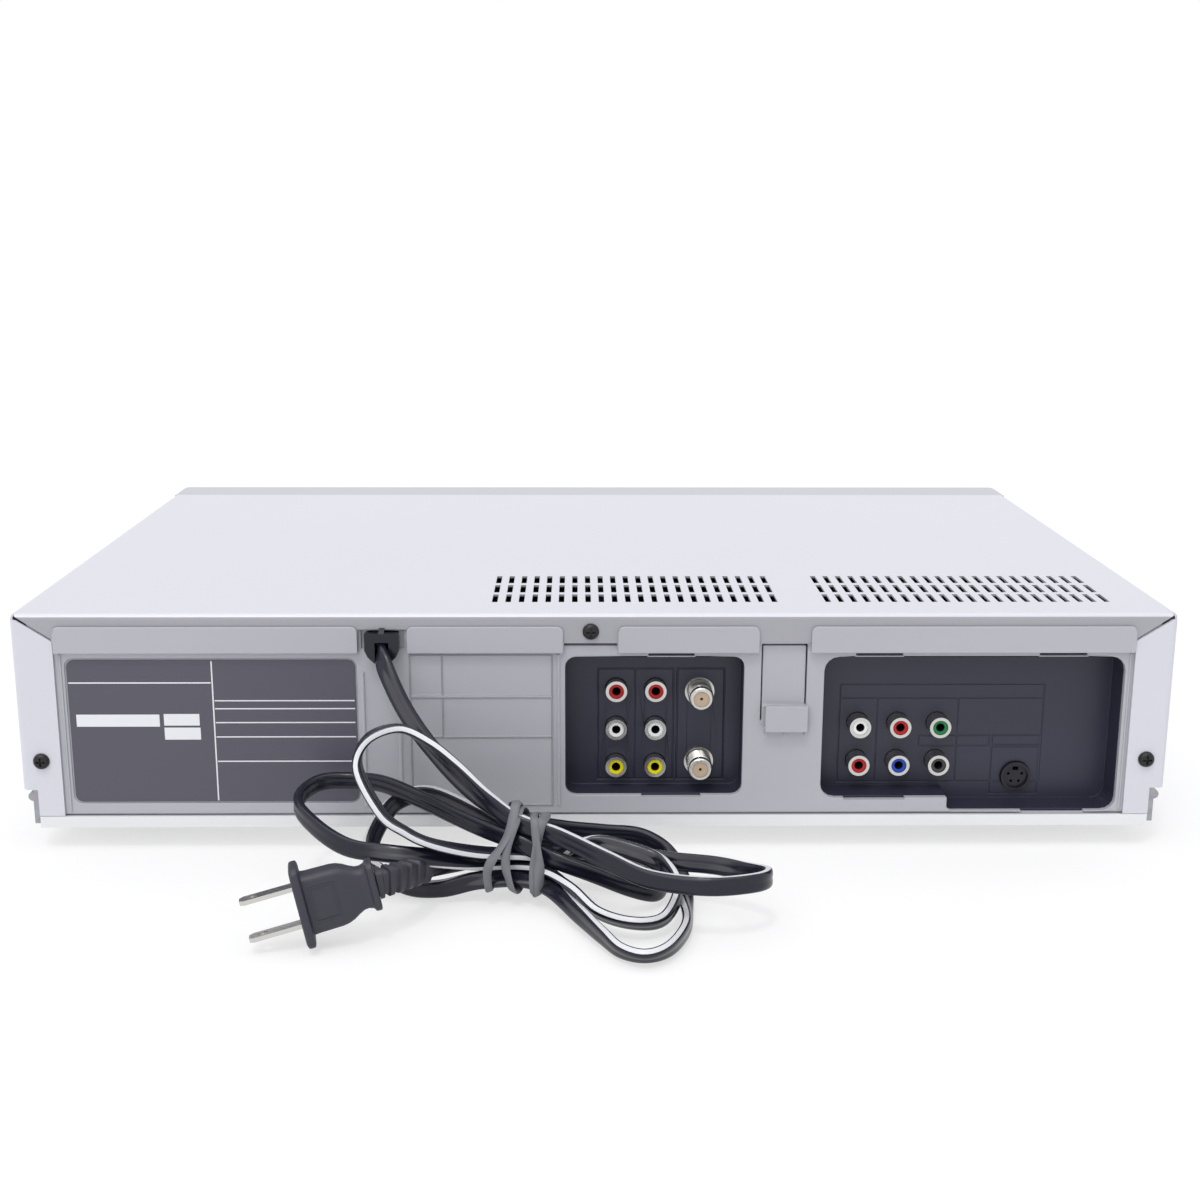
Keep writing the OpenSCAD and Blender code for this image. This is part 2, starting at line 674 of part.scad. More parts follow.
// Pan head screw with a cross recess, head on +Z, underside at the origin
module pan_screw(shank) {
    difference() {
        union() {
            rotate_extrude() polygon(concat([[0, -shank], [1.1, -shank], [1.3, 0.4 - shank], [1.3, 0], [3.05, 0]],
                arc([1.45, 0.2], 1.6, 10, 80), [[0, screw_head_h]]));
        }
        for (a = [0, 90]) rotate(a) block([-1.7, -0.35, screw_head_h - 1], [1.7, 0.35, screw_head_h + 1]);
    }
}

module case_screws() color([0.12, 0.12, 0.13]) {
    for (s = flange_screws) translate([s[0], rear_y + 0.01, s[1]]) rotate([-90, 0, 0]) pan_screw(8);
    for (s = base_screws) translate([s[0], s[1], ground_gap - 0.01]) rotate([180, 0, 0]) pan_screw(7);
}

module feet() color([0.2, 0.2, 0.22]) {
    for (x = [-165, 165]) for (y = [-92, 92]) translate([x, y, 0]) rotate_extrude()
        polygon([[0, 0], [9.5, 0], [10, 0.6], [10, 1.2], [12.6, 1.8], [13.4, ground_gap - 0.02], [0, ground_gap - 0.02]]);
}

module main_board() color([0.1, 0.42, 0.2]) {
    difference() {
        union() {
            block([-45, -100, 14], [204, 92, 15.6]);
            for (i = [0:4]) block([-36, -80 + i * 32, 15.6], [-16, -66 + i * 32, 18.4]);
            for (i = [0:3]) bar_z([-6, 20 + i * 16], 3.5, 15.6, 24);
        }
        for (p = deck_posts) bar_z(p, 5, 10, 30);
        for (p = base_screws) bar_z(p, 5, 10, 30);
    }
}

module power_board() color([0.55, 0.42, 0.22]) {
    block([100, 96, 24], [204, 128, 25.6]);
    for (p = [[104, 100], [104, 124], [200, 100], [200, 124]]) bar_z(p, 2.5, floor_z + floor_t, 24);
}

module power_parts() color([0.3, 0.3, 0.32]) {
    block([118, 99, 25.6], [150, 125, 34]);
    block([124, 101, 34], [144, 123, 50]);
    block([118, 99, 50], [150, 125, 54]);
    bar_z([168, 112], 9, 25.6, 58);
    bar_z([194, 118], 5.5, 25.6, 48);
    bar_z([181, 101], 4, 25.6, 40);
    for (i = [0:4]) block([102, 99 + i * 5.4, 27.6], [113, 100.6 + i * 5.4, 66]);
    block([110, 99, 25.6], [113, 122.2, 68]);
}

module dvd_board() color([0.1, 0.42, 0.2]) {
    block([-204, 70, 20], [-66, 113, 21.6]);
    block([-160, 80, 21.6], [-134, 104, 24]);
    for (i = [0:2]) bar_z([-90 - i * 12, 84], 3, 21.6, 30);
    for (p = [[-198, 76], [-72, 78], [-72, 108], [-198, 108]]) bar_z(p, 2.5, floor_z + floor_t, 20);
}

module front_board() color([0.1, 0.38, 0.2]) {
    y1 = board_y + board_t;
    difference() {
        block([-196, board_y, 12.6], [196, y1, 50]);
        for (x = front_jacks) bar_y(x, front_jack_z, phono_r + 0.4, board_y - 1, y1 + 1);
    }
    block([-50, board_y, 50], [-8, y1, 82]);
    block([-212, board_y, 40], [-196, y1, 81]);
    block([display_area[0] + 8, board_y - 6, display_area[1] + 2], [display_area[2] - 8, board_y, display_area[3] - 8]);
    for (x = deck_button_x) block([x - 3, board_y - 3, deck_button_z - 3], [x + 3, board_y, deck_button_z + 3]);
    for (p = [open_at, eject_at, power_at]) block([p[0] - 3, board_y - 3, p[1] - 3], [p[0] + 3, board_y, p[1] + 3]);
}

module tuner_can() color([0.78, 0.78, 0.78]) {
    difference() {
        block([-51, 62, 20], [-27, rear_y - 17, 68]);
        block([-50.4, 62.6, 20.6], [-27.6, rear_y - 17.6, 67.4]);
    }
    for (z = [26, 44, 62]) block([-52.4, 80, z - 1], [-51, 100, z + 1]);
}

module display_window() color([0.08, 0.08, 0.1]) {
    upright(face_y + 0.1, face_y + 2.2) polygon(round_rect(display_area, 1.4));
}

// Side channel of the loader, on the +X side
module loader_side() {
    x1 = loader_half;
    block([x1 - loader_t, loader_front_y, loader_z], [x1, loader_back_y, 79]);
    block([tray_w / 2 + 0.4, loader_front_y, tray_edge_z - 2.5], [x1, loader_back_y, tray_edge_z - gap]);
    block([tray_w / 2 + 1, loader_front_y, tray_edge_z + tray_edge_t + gap],
        [x1, loader_back_y, tray_edge_z + tray_edge_t + 2]);
}

module loader_frame() color([0.16, 0.16, 0.18]) {
    translate([drive_x, 0, 0]) difference() {
        union() {
            block([-loader_half, loader_front_y, loader_z], [loader_half, loader_back_y, loader_z + loader_t]);
            loader_side();
            mirror([1, 0, 0]) loader_side();
            block([-loader_half, loader_back_y - 2, loader_z], [loader_half, loader_back_y, 79]);
            bar_z([gear_x - drive_x, gear_y], 4, loader_z, gear_z - gap);
            bar_z([gear_x - drive_x, gear_y], 2, loader_z, gear_top - 0.4);
            for (x = [-31.5, 40.5]) block([x - 2, traverse_pivot_y - 4, loader_z], [x + 2, traverse_pivot_y + 4, traverse_z + 5]);
        }
        block([-28, -86, loader_z - 1], [38, traverse_pivot_y + 6, loader_z + loader_t + 1]);
        translate([-40, traverse_pivot_y, traverse_z + 1]) rotate([0, 90, 0]) cylinder(r = 2 + running, h = 90);
    }
}

module clamp_bridge() color([0.7, 0.7, 0.72]) {
    difference() {
        block([drive_x - loader_half, spindle_y - 24, 79], [drive_x + loader_half, spindle_y + 24, 80.8]);
        bar_z([drive_x, spindle_y], 12, 70, 90);
        for (s = [-1, 1]) block([drive_x + s * 45 - 12, spindle_y - 12, 70], [drive_x + s * 45 + 12, spindle_y + 12, 90]);
    }
}

// One straight-sided tooth that stands up along +Y from its pitch line
module tooth_outline() {
    polygon([[-tooth_w / 2 - tooth_down * flank, -tooth_down - 0.3], [tooth_w / 2 + tooth_down * flank, -tooth_down - 0.3],
        [tooth_w / 2 + tooth_down * flank, -tooth_down], [tooth_w / 2 - tooth_up * flank, tooth_up],
        [tooth_up * flank - tooth_w / 2, tooth_up], [-tooth_w / 2 - tooth_down * flank, -tooth_down]]);
}

// Teeth of the rack: they face +X, in mesh with the tray gear
module rack_teeth() {
    count = 49;
    for (i = [0:count - 1]) translate([rack_x, gear_y + (i - 4.5) * tooth_pitch, tray_z])
        rotate(-90) linear_extrude(rack_top - tray_z + 0.4) tooth_outline();
}

module disc_tray() color([0.13, 0.13, 0.14]) {
    x0 = drive_x - tray_w / 2;
    x1 = drive_x + tray_w / 2;
    difference() {
        union() {
            block([x0, tray_front_y, tray_z], [x1, tray_back_y, tray_z + tray_h]);
            block([x0 - tray_edge, loader_front_y - 10, tray_edge_z],
                [x1 + tray_edge, tray_back_y, tray_edge_z + tray_edge_t]);
        }
        bar_z([drive_x, spindle_y], disc_r, recess_z, tray_z + tray_h + 1);
        bar_z([drive_x, spindle_y], 41, recess_z - 0.8, recess_z + 1);
        bar_z([drive_x, spindle_y], 19, tray_z - 1, recess_z);
        block([drive_x - 24, spindle_y, tray_z - 1], [drive_x + 24, spindle_y + 46, recess_z]);
        block([drive_x - 19, spindle_y, tray_z - 1], [drive_x + 19, tray_back_y + 1, tray_z + tray_h + 1]);
        block([rack_x - tooth_down, gear_y - 5.4 * tooth_pitch, tray_z - 1], [gear_x + gear_r + 1.5, tray_back_y + 1, rack_top]);
    }
    rack_teeth();
}

module tray_front() color([0.80, 0.80, 0.84]) {
    difference() {
        union() {
            upright(face_y, tray_front_y)
                polygon(round_rect([drive_x - 68, tray_z, drive_x + 68, tray_z + 16], 1));
            block([drive_x - 50, tray_front_y - 0.5, tray_z + tray_h + gap], [drive_x + 50, tray_front_y + 3, tray_z + tray_h + 2]);
        }
        block([drive_x - 20, face_y - 1, tray_z - 1], [drive_x + 20, face_y + 0.8, tray_z + 1.6]);
    }
}

module tray_gear() color([0.9, 0.9, 0.86]) {
    translate([gear_x, gear_y, 0]) difference() {
        union() {
            translate([0, 0, gear_top - gear_h]) linear_extrude(gear_h) union() {
                circle(r = gear_r - tooth_down);
                for (i = [0:gear_teeth - 1]) rotate(i * 360 / gear_teeth + 90)
                    translate([0, gear_r]) tooth_outline();
            }
            bar_z([0, 0], 6, gear_z, gear_top - gear_h + 0.5);
            bar_z([0, 0], 9, gear_z, gear_z + 4);
        }
        bar_z([0, 0], 2 + running, gear_z - 1, gear_top + 1);
    }
}

module traverse() color([0.55, 0.56, 0.58]) {
    x0 = drive_x - 26;
    x1 = drive_x + 35;
    py = traverse_pivot_y;
    difference() {
        union() {
            block([x0, -82, traverse_z], [x1, py + 2, traverse_z + 2]);
            for (s = [-1, 1]) for (y = [-50, 22])
                block([drive_x + s * rail_x - 3, y, traverse_z + 1], [drive_x + s * rail_x + 3, y + 4, rail_z + 2.5]);
            for (y = [-44, 24]) block([screw_x - 3, y, traverse_z + 1], [screw_x + 3, y + 3, rail_z + 3]);
            translate([x0 - 7, py, traverse_z + 1]) rotate([0, 90, 0]) cylinder(r = 2, h = 8);
            translate([x1 - 1, py, traverse_z + 1]) rotate([0, 90, 0]) cylinder(r = 2, h = 8);
            bar_z([drive_x, spindle_y], 13, traverse_z - 5, traverse_z + 1);
        }
        block([drive_x - opening_side, -44, traverse_z - 1], [drive_x + opening_side, 20, traverse_z + 4]);
        bar_z([drive_x, spindle_y], 1.5 + running, traverse_z - 4, traverse_z + 4);
        for (s = [-1, 1]) bar_y(drive_x + s * rail_x, rail_z, rail_r + 0.02, -49, 25);
        bar_y(screw_x, rail_z, screw_r + running, -45, 28);
    }
}

module sled_rails() color([0.8, 0.8, 0.82]) {
    for (s = [-1, 1]) bar_y(drive_x + s * rail_x, rail_z, rail_r, -48.9, 24.9);
}

module turntable() color([0.15, 0.15, 0.16]) {
    z0 = traverse_z + 2.6;
    translate([drive_x, spindle_y, 0]) {
        bar_z([0, 0], 1.5, traverse_z - 3.8, z0 + 1);
        top = z0 + turntable_h;
        rotate_extrude() polygon([[0, z0], [9, z0], [10, top - 4], [13, top - 3.4], [15, top - 3], [15, top - 0.4],
            [14, top - 0.4], [14, top], [9, top], [9, top - 0.6], [7.4, top - 0.6], [7, top + 1], [5.4, top + 2.4], [0, top + 2.4]]);
    }
}

module pickup_sled() color([0.3, 0.3, 0.33]) {
    y0 = spindle_y + 17;
    y1 = y0 + 24;
    difference() {
        union() {
            block([drive_x - 24, y0, rail_z - 2.4], [drive_x + 24, y1, rail_z + 3]);
            block([drive_x - 12, y0, traverse_z - 4], [drive_x + 12, y1, rail_z]);
            bar_z([drive_x, lens_y], 4, rail_z, rail_z + 4.6);
            block([drive_x + 22, y0 + 8, rail_z + 2.2], [screw_x + 2.4, y0 + 16, rail_z + 3.4]);
        }
        for (s = [-1, 1]) bar_y(drive_x + s * rail_x, rail_z, rail_r + running, y0 - 1, y1 + 1);
        bar_z([drive_x, lens_y], 2.6, rail_z + 3.8, rail_z + 6);
    }
}

module feed_screw() color([0.75, 0.75, 0.78]) {
    bar_y(screw_x, rail_z, screw_r, -43.8, 27.4);
    bar_y(screw_x, rail_z, 2.8, 18, 23.4);
}

module disc_clamp() color([0.2, 0.2, 0.22]) {
    translate([drive_x, spindle_y, 0]) rotate_extrude()
        polygon([[0, 74.7], [13, 74.7], [14, 75.4], [14, 78.4], [11.5, 78.4], [11.5, 81.1], [14.5, 81.1], [14.5, 82.4], [0, 82.4]]);
}

module deck_plate() color([0.72, 0.72, 0.75]) {
    x0 = deck_x - 100;
    x1 = deck_x + 100;
    difference() {
        union() {
            block([x0, -106, deck_z], [x1, 92, deck_top_z]);
            for (x = [x0, x1 - 1.4]) block([x, -104, deck_z], [x + 1.4, 14, 86]);
            for (s = [-1, 1]) bar_z([deck_x + s * reel_half, reel_y], 2, deck_z, 40);
            bar_z(arm_pivot, 2.5, deck_z, 57);
            bar_z([126, 84], 2.2, deck_z, 60);
            bar_z([64, 84], 2.2, deck_z, 60);
            block([146, 34, deck_z], [150, 44, 58]);
            block([30, 34, deck_z], [38, 40, 56]);
        }
        bar_z(capstan_at, capstan_r + running, deck_z - 1, deck_top_z + 1);
        for (s = [-1, 1]) block([deck_x + s * 40 - 14, 12, deck_z - 1], [deck_x + s * 40 + 14, 22, deck_top_z + 1]);
        for (x = [x0, x1 - 1.4]) block([x - 1, -80, 60], [x + 3, -10, 64]);
        block([deck_x - 20, -96, deck_z - 1], [deck_x + 20, -70, deck_top_z + 1]);
    }
}

module carriage_frame() color([0.66, 0.66, 0.7]) {
    half = basket_half + rail_gap;
    for (s = [-1, 1]) {
        x0 = s > 0 ? deck_x + half : deck_x - half - sheet_wall;
        difference() {
            block([x0, -104, 50], [x0 + sheet_wall, 14, 87]);
            block([x0 - 1, -90, 64], [x0 + 3, 0, 70]);
        }
    }
    block([deck_x - half - sheet_wall, -20, 85.4], [deck_x + half + sheet_wall, -12, 86.8]);
}

module cassette_basket() color([0.6, 0.6, 0.63]) {
    y0 = basket_y[0];
    y1 = basket_y[1];
    z0 = basket_z[0];
    z1 = basket_z[1];
    for (s = [-1, 1]) {
        x0 = s > 0 ? deck_x + basket_half - sheet_wall : deck_x - basket_half;
        l0 = s > 0 ? deck_x + basket_half - 12 : deck_x - basket_half;
        block([x0, y0, z0], [x0 + sheet_wall, y1, z1]);
        block([l0, y0, z0], [l0 + 12, y1, z0 + sheet_wall]);
    }
    difference() {
        block([deck_x - basket_half, y0, z1 - sheet_wall], [deck_x + basket_half, y1, z1]);
        for (s = [-1, 1]) block([deck_x + s * 45 - 30, y0 + 14, z1 - 3], [deck_x + s * 45 + 30, y1 - 14, z1 + 1]);
    }
}

module cassette_door() color([0.80, 0.80, 0.84]) {
    half = cassette_w / 2 - 0.4;
    y = door_axis[0];
    z = door_axis[1];
    translate([deck_x - half, y, z]) rotate([0, 90, 0]) cylinder(r = door_barrel_r, h = 2 * half);
    translate([deck_x - half - 2.2, y, z]) rotate([0, 90, 0]) cylinder(r = 1, h = 2 * half + 4.4);
    difference() {
        block([deck_x - half, y - door_barrel_r, slot_z[0] + 0.5], [deck_x + half, y + door_barrel_r, z]);
        block([deck_x - 60, y - 2, slot_z[0] + 4], [deck_x + 60, y - door_barrel_r + 0.5, slot_z[0] + 5]);
    }
}

// The drum stands on the deck and leans towards the front
module on_drum_axis() {
    translate(drum_at) rotate([drum_tilt, 0, 0]) children();
}

module lower_drum() color([0.7, 0.71, 0.73]) {
    difference() {
        union() {
            on_drum_axis() translate([0, 0, 4]) cylinder(r = drum_r, h = 16);
            bar_z([drum_at[0], drum_at[1]], 22, deck_top_z, drum_at[2] + 6);
        }
        on_drum_axis() translate([0, 0, 4.5]) cylinder(r = 3 + running, h = 20);
    }
}

module upper_drum() color([0.8, 0.81, 0.83]) {
    on_drum_axis() {
        translate([0, 0, 5]) cylinder(r = 3, h = 18);
        difference() {
            translate([0, 0, 20.5]) cylinder(r = drum_r, h = 17);
            translate([0, 0, 34]) difference() {
                cylinder(r = 26, h = 5);
                translate([0, 0, -1]) cylinder(r = 12, h = 8);
            }
            for (s = [-1, 1]) translate([s * drum_r - 2, -3, 20]) cube([4, 6, 2.5]);
        }
    }
}

module capstan() color([0.7, 0.6, 0.42]) {
    bar_z(capstan_at, capstan_r, 17, 60);
    bar_z(capstan_at, 24, 18, 23.6);
}

// Reel table with a three-finned spindle
module reel(x) {
    translate([x, reel_y, 0]) difference() {
        union() {
            rotate_extrude() polygon([[0, 29], [17, 29], [19, 30], [19, 32], [12, 32.6], [0, 33]]);
            cylinder(r = 6, h = 46);
            for (a = [0, 120, 240]) rotate(a) block([0, -1.4, 32], [9, 1.4, 45]);
        }
        translate([0, 0, 0]) cylinder(r = 2 + running, h = 41);
        translate([0, 0, -1]) cylinder(r = 30, h = 30);
    }
}

module supply_reel() color([0.88, 0.88, 0.85]) {
    reel(deck_x - reel_half);
}

module takeup_reel() color([0.88, 0.88, 0.85]) {
    reel(deck_x + reel_half);
}

module pinch_arm() color([0.5, 0.5, 0.52]) {
    translate([arm_pivot[0], arm_pivot[1], 0]) rotate(arm_angle) difference() {
        union() {
            bar_z([0, 0], 5, 51, 55);
            block([0, -3, 51], [arm_l, 3, 54]);
            bar_z([arm_l, 0], 3.2, 51, 54);
            bar_z([arm_l, 0], roller_pin_r, 34, 52);
        }
        bar_z([0, 0], 2.5 + running, 50, 56);
    }
}

module pinch_roller() color([0.1, 0.1, 0.1]) {
    translate([arm_pivot[0], arm_pivot[1], 0]) rotate(arm_angle) difference() {
        bar_z([arm_l, 0], roller_r, 35, 50.4);
        bar_z([arm_l, 0], roller_pin_r + running, 34, 52);
    }
}

// Rounded rectangle of a push button, grown by a clearance
module button_outline(at, half, c) {
    polygon(round_rect([at[0] - half[0] - c, at[1] - half[1] - c, at[0] + half[0] + c, at[1] + half[1] + c], 1.5 + c));
}

// Push button: cap through the bezel, flange behind it and stem to its switch
module push_button(at, half) {
    back = face_y + bezel_t + 0.4;
    upright(face_y - button_proud, back + 1) button_outline(at, half, 0);
    upright(back, back + 1) button_outline(at, half, 1.2);
    bar_y(at[0], at[1], 1.5, back, board_y - 3 - button_travel - 0.3);
}

module power_button() color([0.7, 0.7, 0.75]) {
    back = face_y + bezel_t + 0.4;
    bar_y(power_at[0], power_at[1], power_r, face_y - button_proud, back + 1);
    bar_y(power_at[0], power_at[1], power_r + 1.2, back, back + 1);
    bar_y(power_at[0], power_at[1], 1.5, back, board_y - 3 - button_travel - 0.3);
}

module open_button() color([0.7, 0.7, 0.75]) {
    push_button(open_at, side_button);
}

module eject_button() color([0.7, 0.7, 0.75]) {
    push_button(eject_at, side_button);
}

module rewind_button() color([0.7, 0.7, 0.75]) {
    push_button([deck_button_x[0], deck_button_z], deck_button);
}

module play_button() color([0.7, 0.7, 0.75]) {
    push_button([deck_button_x[1], deck_button_z], deck_button);
}

module stop_button() color([0.7, 0.7, 0.75]) {
    push_button([deck_button_x[2], deck_button_z], deck_button);
}

module forward_button() color([0.7, 0.7, 0.75]) {
    push_button([deck_button_x[3], deck_button_z], deck_button);
}

// Outline of the gland, grown by a margin
function gland_outline(m) = let (x = gland_x, z = gland_top_z)
    [[x - 6.3 - m, z + m], [x + 6.3 + m, z + m], [x + 6.3 + m, z - 6.4], [x + 5.2 + m, z - 8.8 - m / 2],
    [x + 3 + m / 2, z - 11 - m], [x + 1.4, z - 11.8 - m], [x - 1.4, z - 11.8 - m],
    [x - 3 - m / 2, z - 11 - m], [x - 5.2 - m, z - 8.8 - m / 2], [x - 6.3 - m, z - 6.4]];

module cord_gland() color([0.2, 0.2, 0.24]) {
    x = gland_x;
    z = gland_top_z;
    difference() {
        union() {
            upright(rear_y + 0.3, rear_y + 3.2) polygon(gland_outline(0));
            upright(panel_back_y - 3, rear_y + 0.5) polygon(gland_outline(-0.7));
            sideways(x - 1, x + 1) polygon([[rear_y + 0.3, z - 0.1], [rear_y + 3.2, z - 0.1], [rear_y + 0.3, z + 1.6]]);
        }
        block([x - 2.5, panel_back_y - 5, z - 10.6], [x + 2.5, rear_y + 5, z - 3.4]);
    }
}

// Directions along the route and across it, for the swept cord
function unit(v) = v / norm(v);
function lean(p) = let (b = len(p) > 4 ? p[4] : 0)
    [sin(b), sin(p[3]) * cos(b), cos(p[3]) * cos(b)];
function place(p) = [p[0], p[1], p[2]];
function along(i) = unit(place(route[min(i + 1, len(route) - 1)]) - place(route[max(i - 1, 0)]));
function across(i) = let (t = along(i), w = lean(route[i])) unit(w - (w * t) * t);

// One ring of the cord: a flat octagon round a point of the route
function ring(i) = let (w = across(i), n = cross(along(i), w), a = cord_w / 2, b = cord_t / 2)
    [for (k = [[1, 0.45], [0.72, 1], [-0.72, 1], [-1, 0.45], [-1, -0.45], [-0.72, -1], [0.72, -1], [1, -0.45]])
        place(route[i]) + w * a * k[0] + n * b * k[1]];

module power_cord() color([0.12, 0.12, 0.15]) {
    sides = 8;
    last = len(route) - 1;
    points = [for (i = [0:last]) each ring(i)];
    faces = concat(
        [[for (k = [0:sides - 1]) k]],
        [for (i = [0:last - 1]) for (k = [0:sides - 1]) each
            let (a = i * sides + k, b = i * sides + (k + 1) % sides)
            [[a, a + sides, b + sides], [a, b + sides, b]]],
        [[for (k = [0:sides - 1]) last * sides + sides - 1 - k]]);
    polyhedron(points, faces);
}

// The plug is drawn along +X, with its face at the origin
module on_plug() {
    translate(plug_face) rotate(plug_turn) children();
}

// Centre line of the ribbed relief, from the back of the plug to the end of the cord
function plug_axis() = let (e = plug_turn[1], a = plug_turn[2]) [cos(e) * cos(a), cos(e) * sin(a), -sin(e)];
function relief_at(t) = let (p0 = plug_face - plug_back * plug_axis(), p1 = p0 - 9 * plug_axis(),
    p2 = place(route[len(route) - 1])) (1 - t) * (1 - t) * p0 + 2 * t * (1 - t) * p1 + t * t * p2;

// Ribs and core of the relief: short blocks turned along its centre line
module relief() {
    for (i = [0:relief_steps - 1]) {
        p = relief_at(i / relief_steps);
        q = relief_at((i + 1) / relief_steps);
        d = unit(q - p);
        slim = 1.6 * i / relief_steps;
        rib = i % 2 == 0 ? 1.1 : 0;
        translate(p) rotate([0, -asin(d[2]), atan2(d[1], d[0])])
            translate([-0.5, slim / 2 - 2.9 - rib, slim / 2 - 4.4 - rib])
                cube([norm(q - p) + (rib > 0 ? 0 : 1), 5.8 + 2 * rib - slim, 8.8 + 2 * rib - slim]);
    }
}

module plug_body() color([0.14, 0.14, 0.17]) {
    on_plug() {
        block([-2.8, -8, -13.6], [0, 8, 13.6]);
        intersection() {
            translate([0, 8, 0]) rotate([90, 0, 0]) linear_extrude(16) polygon([[-2.5, -10], [-2.5, 10],
                [-14, 9.8], [-17.5, 8.6], [-20.5, 6.8], [-24.6, 7.8], [-24.6, -7.8], [-20.5, -6.8],
                [-17.5, -8.6], [-14, -9.8]]);
            translate([0, 0, -14]) linear_extrude(28) polygon([[-2.5, -5.6], [-2.5, 5.6], [-16, 5.6],
                [-20.5, 4.4], [-24.6, 4.6], [-24.6, -4.6], [-20.5, -4.4], [-16, -5.6]]);
        }
        block([-plug_back, -5.6, -8.2], [-24.2, 5.6, 8.2]);
    }
    relief();
}

module plug_prongs() color([0.85, 0.85, 0.84]) {
    on_plug() for (s = [-1, 1]) difference() {
        translate([0.01, -3.15, s * blade_gap / 2 - 0.75]) cube([blade_l, 6.3, 1.5]);
        translate([blade_l - 4.6, 0, s * blade_gap / 2 - 2]) cylinder(r = 1.6, h = 4);
        for (c = [-1, 1]) translate([blade_l, c * 3.15, s * blade_gap / 2 - 2])
            rotate(45) translate([-1, -1, 0]) cube([2, 2, 4]);
    }
}

// One turn of the tie round the bundle. The outline is its inside, seen along X.
module tie_turn(x, slant, outline) {
    translate([x, tie_centre[0], tie_centre[1]]) rotate([0, slant, 0]) rotate([90, 0, 90])
        translate([0, 0, -tie_width / 2]) linear_extrude(tie_width) difference() {
            scale(tie_grow) polygon(outline);
            polygon(outline);
        }
}

module cord_tie() color([0.5, 0.5, 0.52]) {
    tie_turn(23, -9, [[-9, -10.2], [-9.2, 0], [-9, 10.8], [-7.8, 11.8], [2.4, 14.2], [6.8, 14.2],
        [7.8, 13.2], [10.3, -8.4], [8.8, -11.6], [7.8, -11.8]]);
    tie_turn(32, 12, [[-7.8, -10], [-13.2, 1.8], [-12.5, 7.8], [-9.8, 16.9], [-2.2, 21.6], [1, 21.7],
        [2.7, 17], [7.4, 2.2], [8.9, -8.4], [7.4, -11.8]]);
}

top_cover();
rear_panel();
chassis_frame();
bottom_plate();
front_bezel();
vcr_jack_panel();
dvd_jack_panel();
jack_shells();
red_inserts();
white_inserts();
yellow_inserts();
component_inserts();
antenna_terminals();
antenna_insulators();
svideo_socket();
rating_plate();
case_screws();
feet();
main_board();
power_board();
power_parts();
dvd_board();
front_board();
tuner_can();
display_window();
loader_frame();
clamp_bridge();
disc_tray();
tray_front();
tray_gear();
traverse();
sled_rails();
turntable();
pickup_sled();
feed_screw();
disc_clamp();
deck_plate();
carriage_frame();
cassette_basket();
cassette_door();
lower_drum();
upper_drum();
capstan();
supply_reel();
takeup_reel();
pinch_arm();
pinch_roller();
power_button();
open_button();
eject_button();
rewind_button();
play_button();
stop_button();
forward_button();
cord_gland();
power_cord();
plug_body();
plug_prongs();
cord_tie();
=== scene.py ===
"""Looks of a disc and tape combo player, seen from behind."""
from math import cos, pi, radians, sin

import bpy
from mathutils import Matrix, Vector


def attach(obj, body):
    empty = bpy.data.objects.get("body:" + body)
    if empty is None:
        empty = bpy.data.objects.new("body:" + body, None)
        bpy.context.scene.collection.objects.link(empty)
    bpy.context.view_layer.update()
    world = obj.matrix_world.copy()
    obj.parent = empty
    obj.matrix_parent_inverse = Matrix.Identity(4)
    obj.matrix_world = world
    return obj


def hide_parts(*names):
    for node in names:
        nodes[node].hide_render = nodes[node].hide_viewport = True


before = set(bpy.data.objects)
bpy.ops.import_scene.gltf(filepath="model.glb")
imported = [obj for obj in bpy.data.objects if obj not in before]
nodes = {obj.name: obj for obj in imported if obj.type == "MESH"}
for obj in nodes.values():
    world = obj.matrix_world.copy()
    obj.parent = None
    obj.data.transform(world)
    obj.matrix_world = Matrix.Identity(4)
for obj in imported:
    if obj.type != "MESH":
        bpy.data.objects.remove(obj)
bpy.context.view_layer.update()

MM = 0.001              # a millimetre in metres
REAR_Y = 139.8          # plane of the cover's rear flange, mm
PANEL_Y = REAR_Y - 1.1  # plane of the moulded rear panel, mm
FACE_Y = -140.7         # front of the bezel, mm


# ---------------------------------------------------------------- camera
camera_data = bpy.data.cameras.new("camera")
camera = bpy.data.objects.new("camera", camera_data)
bpy.context.scene.collection.objects.link(camera)
camera.location = (0.00726, 0.71456, 0.23690)
camera.rotation_euler = (radians(76.343), radians(-0.166), radians(179.202))
camera_data.lens = 48.465
camera_data.sensor_width = 36.0
camera_data.clip_start = 0.01
bpy.context.scene.camera = camera


# ---------------------------------------------------------------- mesh tools
def mesh_object(name, verts, faces, smooth=None):
    """A mesh piece from points in millimetres, riding on the case.

    smooth is the angle in degrees above which an edge stays sharp."""
    mesh = bpy.data.meshes.new(name)
    mesh.from_pydata([Vector(v) * MM for v in verts], [], faces)
    if smooth is not None:
        mesh.polygons.foreach_set("use_smooth", [True] * len(mesh.polygons))
        mesh.update()
        mesh.set_sharp_from_angle(angle=radians(smooth))
    mesh.update()
    piece = bpy.data.objects.new(name, mesh)
    bpy.context.scene.collection.objects.link(piece)
    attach(piece, "case")
    return piece


def joined(parts):
    """Several meshes as one, each given as its points and faces."""
    verts, faces = [], []
    for points, sides in parts:
        start = len(verts)
        verts += points
        faces += [tuple(start + i for i in side) for side in sides]
    return verts, faces


def box(low, high):
    """Points and faces of a box between two corners."""
    verts = [(x, y, z) for z in (low[2], high[2]) for y in (low[1], high[1]) for x in (low[0], high[0])]
    return verts, [(0, 2, 3, 1), (4, 5, 7, 6), (0, 1, 5, 4), (1, 3, 7, 5), (3, 2, 6, 7), (2, 0, 4, 6)]


